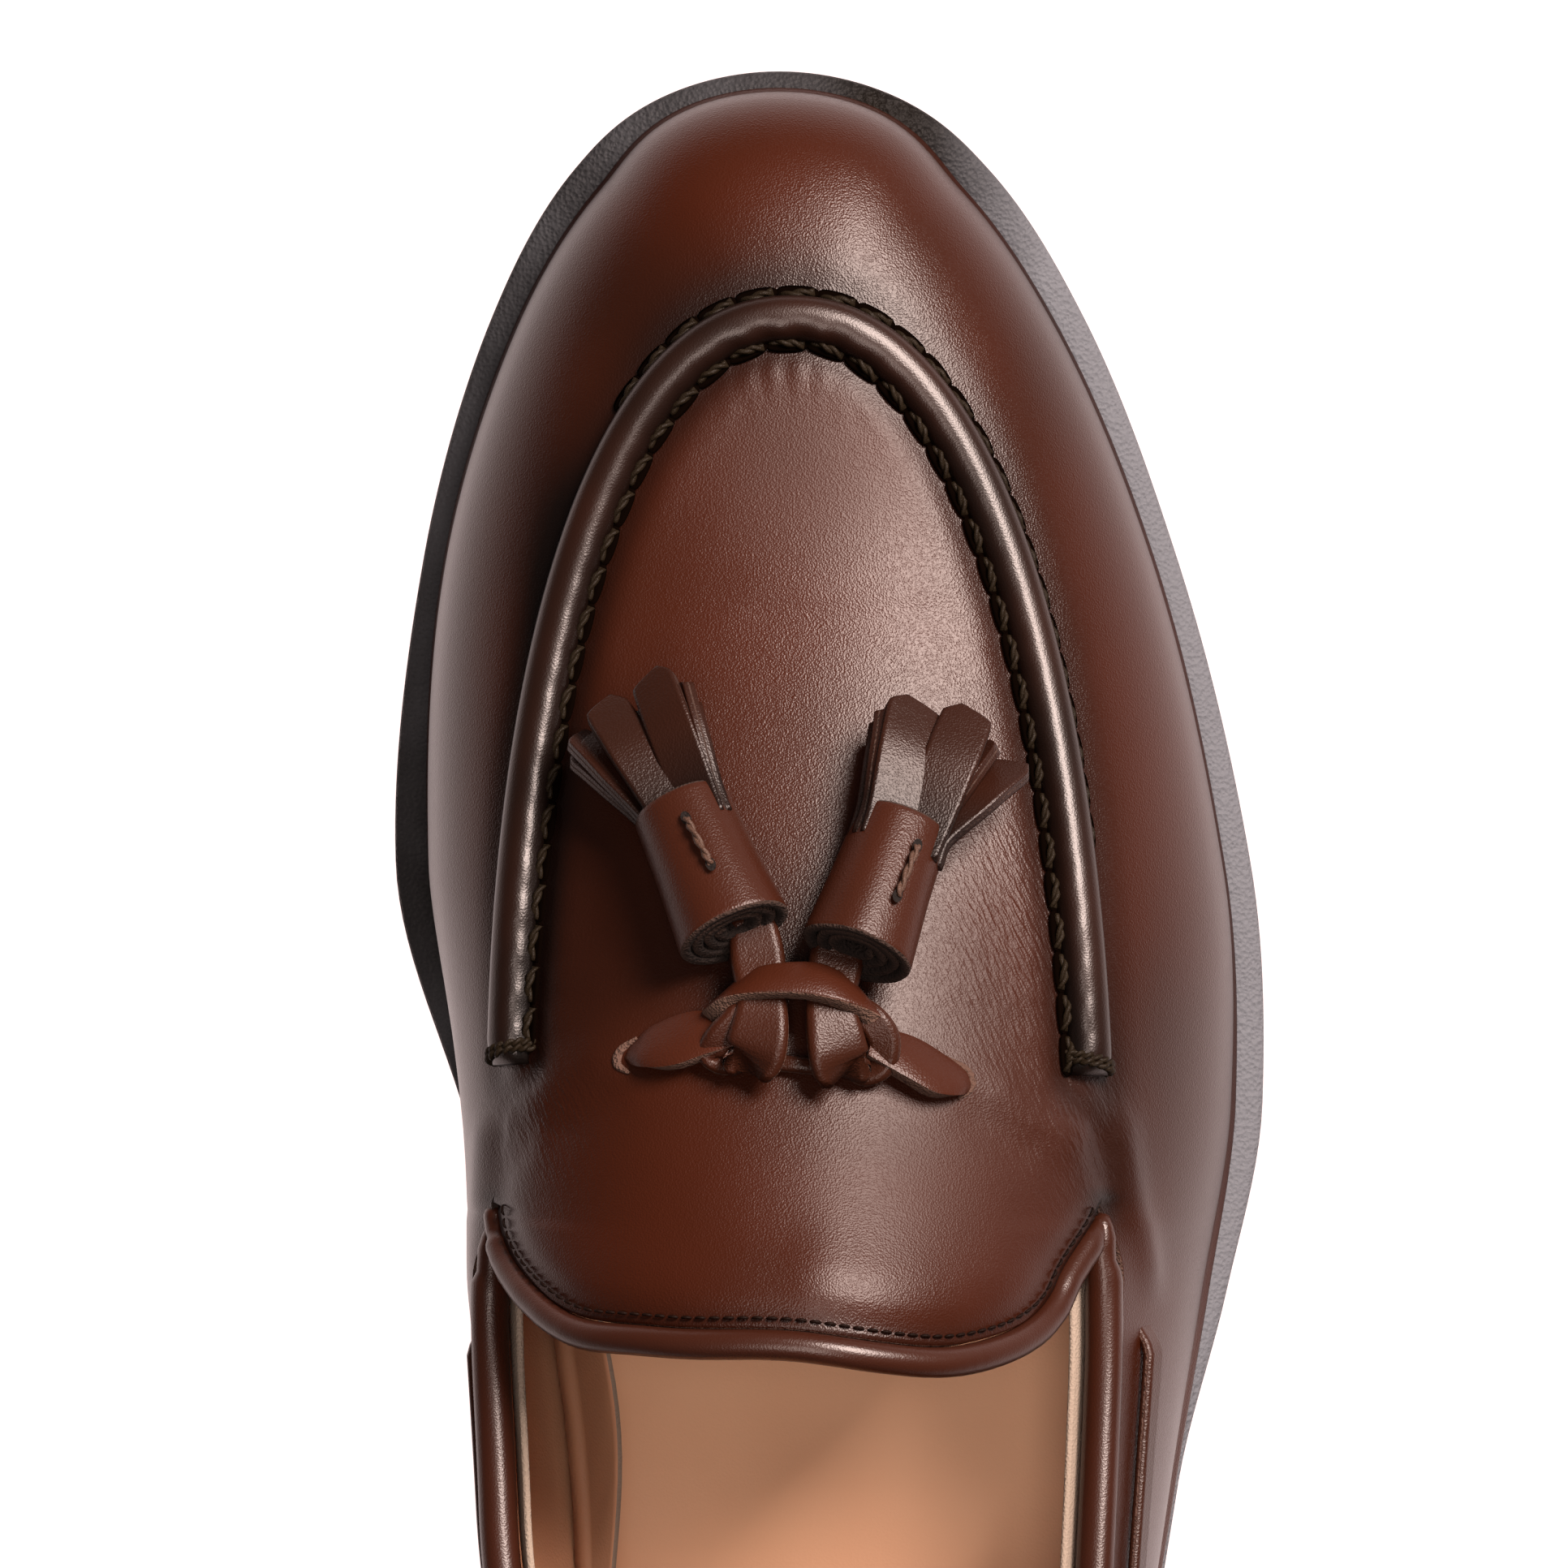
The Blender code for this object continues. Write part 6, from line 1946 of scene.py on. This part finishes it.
@dataclass
class Sole:
    """Outsole with its outward-sloping pitted margin, heel and inside sock."""

    last: Last
    block: Piece
    steps: int = 360
    margin_drop: float = 1.0 * MM
    corner: float = 0.9 * MM
    fold_middle: float = 0.448
    fold_reach: float = 0.085
    fold_width: float = 3.6 * MM
    fold_rise: float = 5.0 * MM
    border: float = 0.7 * MM
    crest: float = 0.55 * MM
    sock_thickness: float = 2.2 * MM
    sock_rise: float = 2.5 * MM
    stations: int = 160
    folded: int = 8
    columns: int = 40

    def build(self) -> None:
        """Outsole, heel and insole."""
        self.outsole()
        self.heel()
        self.insole()

    def outsole(self) -> None:
        """Outsole as stacked rings joined by a flat top and bottom."""
        last, count = self.last, self.steps
        levels = (
            (0.97, 0.00, "margin"),
            (0.55, 0.35, "margin"),
            (self.corner * 0.9, 0.92, "top"),
            (self.corner * 0.3, 1.15, "top"),
            (0.0, 1.85, "top"),
            (0.0, self.corner, "bottom"),
            (self.corner * 0.3, self.corner * 0.3, "bottom"),
            (self.corner, 0.0, "bottom"),
        )
        points = []
        for inset, depth, kind in levels:
            for k in range(count):
                turn = 2 * math.pi * k / count
                point = last.outline(turn, inset * last.margin(turn) if kind == "margin" else inset)
                top = last.seat(point.y) - last.gap
                low = kind == "bottom"
                point.z = top - last.sole_depth(point.y) + depth if low else top - depth * self.margin_drop
                points.append(point)
        faces = grid_faces(len(levels), count, closed=True)
        for j in (0, len(levels) - 1):
            for k in range(count // 2):
                a, b = j * count + k, j * count + (k + 1)
                c, d = j * count + (count - k - 1) % count, j * count + (count - k) % count
                faces.append(tuple(dict.fromkeys((a, b, c, d))))
        made = build_mesh("outsole_body", points, faces, [SOLE])
        # Painted sheen: the margin gets lighter towards the lateral front, where the light would reflect.
        glow = [(p.x + 0.12 * p.y - 0.030) / 0.017 for p in points]
        attribute(made, "glow", np.clip(glow, 0, 1))
        settle(made, "sole_black", "outsole")

    def heel(self) -> None:
        """Heel block, painted in place."""
        self.block.data.materials.clear()
        self.block.data.materials.append(SOLE.material())

    def sock_shade(self, place: Vector, column: int) -> float:
        """Painted shade on the sock: at its border, under the tongue, over the patch that the key lamp
        lights, and towards the hidden rear.
        """
        if column <= self.folded:
            return 0.5 if column < self.folded else 0.0
        # Painted shade over the patch that the key lamp lights through the opening.
        lit = math.exp(-(((place.x - 4 * MM) / (14 * MM)) ** 2) - ((place.y + 28 * MM) / (13 * MM)) ** 2)
        side = 0.4 * math.exp(-(column - self.folded) / 3) + 0.25 * (column / self.columns) ** 3
        return side + 0.9 * float(smoothstep(-26 * MM, -52 * MM, place.y)) + 0.42 * lit

    def insole(self) -> None:
        """Sock with the lining that curls down to it along the arch side."""
        last, folded, columns = self.last, self.folded, self.columns
        points, dark = [], []
        inset = last.wall + 2 * last.gap
        for k in range(1, self.stations):
            turn = math.pi * k / self.stations
            left = last.outline(-turn, last.margin(-turn) + inset)
            right = last.outline(turn, last.margin(turn) + inset)
            arch = math.exp(-(((last.along(left.y) - self.fold_middle) / self.fold_reach) ** 2))
            border = self.fold_width * arch + self.border
            start = border + self.crest
            for c in range(columns + 1):
                if c <= folded:
                    across = border * c / folded
                else:
                    across = start + (right.x - left.x - start) * (c - folded - 1) / (columns - folded - 1)
                point = left.lerp(right, across / (right.x - left.x))
                point.z = last.seat(point.y) + self.sock_rise
                if c <= folded:
                    climb = 1 - c / folded
                    wave = 0.35 * MM * math.sin(climb * 3.1) * math.sin(point.y / (1.9 * MM) + climb * 5)
                    point.z += self.fold_rise * arch * climb**1.5 - self.border + wave * arch
                points.append(point)
                dark.append(self.sock_shade(point, c))
        faces = grid_faces(self.stations - 1, columns + 1, closed=False)
        row = [1] * folded + [2] + [0] * (columns - folded - 1)
        finishes = [SOCK, LINING, LINING_EDGE]
        made = build_mesh("sock", points, faces, finishes, row * (self.stations - 2))
        if made.data.polygons[0].normal.z < 0:
            made.data.flip_normals()
        # Painted shade on the sock and the lining's fold.
        attribute(made, "burnish", dark)
        modified(made, "body", "SOLIDIFY", thickness=self.sock_thickness, offset=-1)
        settle(applied(made), "insole_leather", "insole")


@dataclass
class Studio:
    """Pale floor, soft light and the camera straight above."""

    distance: float = 1.1
    centre: Pair = (-5.6 * MM, 59.7 * MM)
    field_width: float = 0.1932
    focus_height: float = 8 * MM
    sensor: float = 36.0
    floor_half: float = 2.5
    pool: Pair = (0.18, 0.40)
    pool_colour: Triple = (1.30, 1.06, 1.03)
    floor_colour: Triple = (0.36, 0.34, 0.34)
    pool_centre: float = 0.02
    sky_colour: Triple = (1.0, 0.98, 0.97)
    sky_strength: float = 0.10

    def area(
        self,
        name: str,
        place: Triple,
        aim: Triple,
        size: Pair,
        power: float,
    ) -> None:
        """A soft box.

        Args:
            name: Its name.
            place: Where it stands.
            aim: What it looks at.
            size: Width and height of its face.
            power: Its power in watts.
        """
        data = bpy.data.lights.new(name, "AREA")
        data.shape = "RECTANGLE"
        data.size, data.size_y = size
        data.energy = power
        lamp = bpy.data.objects.new(name, data)
        lamp.location = place
        lamp.rotation_euler = (Vector(aim) - Vector(place)).to_track_quat("-Z", "Y").to_euler()
        bpy.context.scene.collection.objects.link(lamp)

    def floor(self) -> None:
        """Pale floor with its own soft pool of light round the shoe."""
        paint = bpy.data.materials.new("floor_white")
        paint.use_nodes = True
        tree = paint.node_tree
        shader = tree.nodes["Principled BSDF"].inputs
        preset(shader, {"Base Color": (0.03, 0.03, 0.03, 1), "Emission Strength": 1.0})
        preset(shader, {"Roughness": 0.9, "Specular IOR Level": 0.1})
        coords = added(tree, "ShaderNodeTexCoord")
        away = added(tree, "ShaderNodeVectorMath", {1: (0.0, self.pool_centre, 0.0)}, operation="DISTANCE")
        span = {"From Min": self.pool[0], "From Max": self.pool[1]}
        pool = added(tree, "ShaderNodeMapRange", span, interpolation_type="SMOOTHSTEP")
        ends = {"A": (*self.pool_colour, 1), "B": (*self.floor_colour, 1)}
        tint = added(tree, "ShaderNodeMix", ends, data_type="RGBA")
        tree.links.new(coords.outputs["Object"], away.inputs[0])
        tree.links.new(away.outputs["Value"], pool.inputs["Value"])
        tree.links.new(pool.outputs[0], tint.inputs["Factor"])
        tree.links.new(tint.outputs["Result"], shader["Emission Color"])
        half = self.floor_half
        corners = [(-half, -half, 0), (half, -half, 0), (half, half, 0), (-half, half, 0)]
        made = build_mesh("floor", corners, [(0, 1, 2, 3)], [], recalculate=False)
        made.data.materials.append(paint)

    def build(self) -> None:
        """Floor, world, lights and camera."""
        self.floor()
        scene = bpy.context.scene
        scene.world = bpy.data.worlds.new("studio")
        scene.world.use_nodes = True
        sky = scene.world.node_tree.nodes["Background"].inputs
        preset(sky, {"Color": (*self.sky_colour, 1), "Strength": self.sky_strength})
        self.area("key_front_right", (0.50, 0.61, 0.88), (0.0, 0.05, 0.04), (0.50, 0.50), 44.0)
        self.area("overhead", (-0.04, -0.22, 1.45), (0.0, 0.0, 0.0), (0.40, 0.80), 12.0)
        camera = bpy.data.objects.new("camera", bpy.data.cameras.new("camera"))
        camera.data.sensor_width = self.sensor
        camera.data.lens = self.sensor * (self.distance - self.focus_height) / self.field_width
        camera.data.clip_start = 0.05
        camera.location = (*self.centre, self.distance)
        scene.collection.objects.link(camera)
        scene.camera = camera
        scene.view_settings.view_transform = "Standard"


def main() -> None:
    """Builds every piece over the frame."""
    logging.basicConfig(level=logging.INFO, format="%(name)s: %(message)s")
    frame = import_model()
    last = Last()
    skin = Skin(last, stations=200)
    sole = Sole(last, frame["nodes"]["heel"])
    for part in (Upper(skin), Seam(skin), Bindings(skin), Laces(skin), Tassels(skin), sole, Studio()):
        LOG.info(type(part).__name__.lower())
        part.build()


if __name__ == "__main__":
    main()
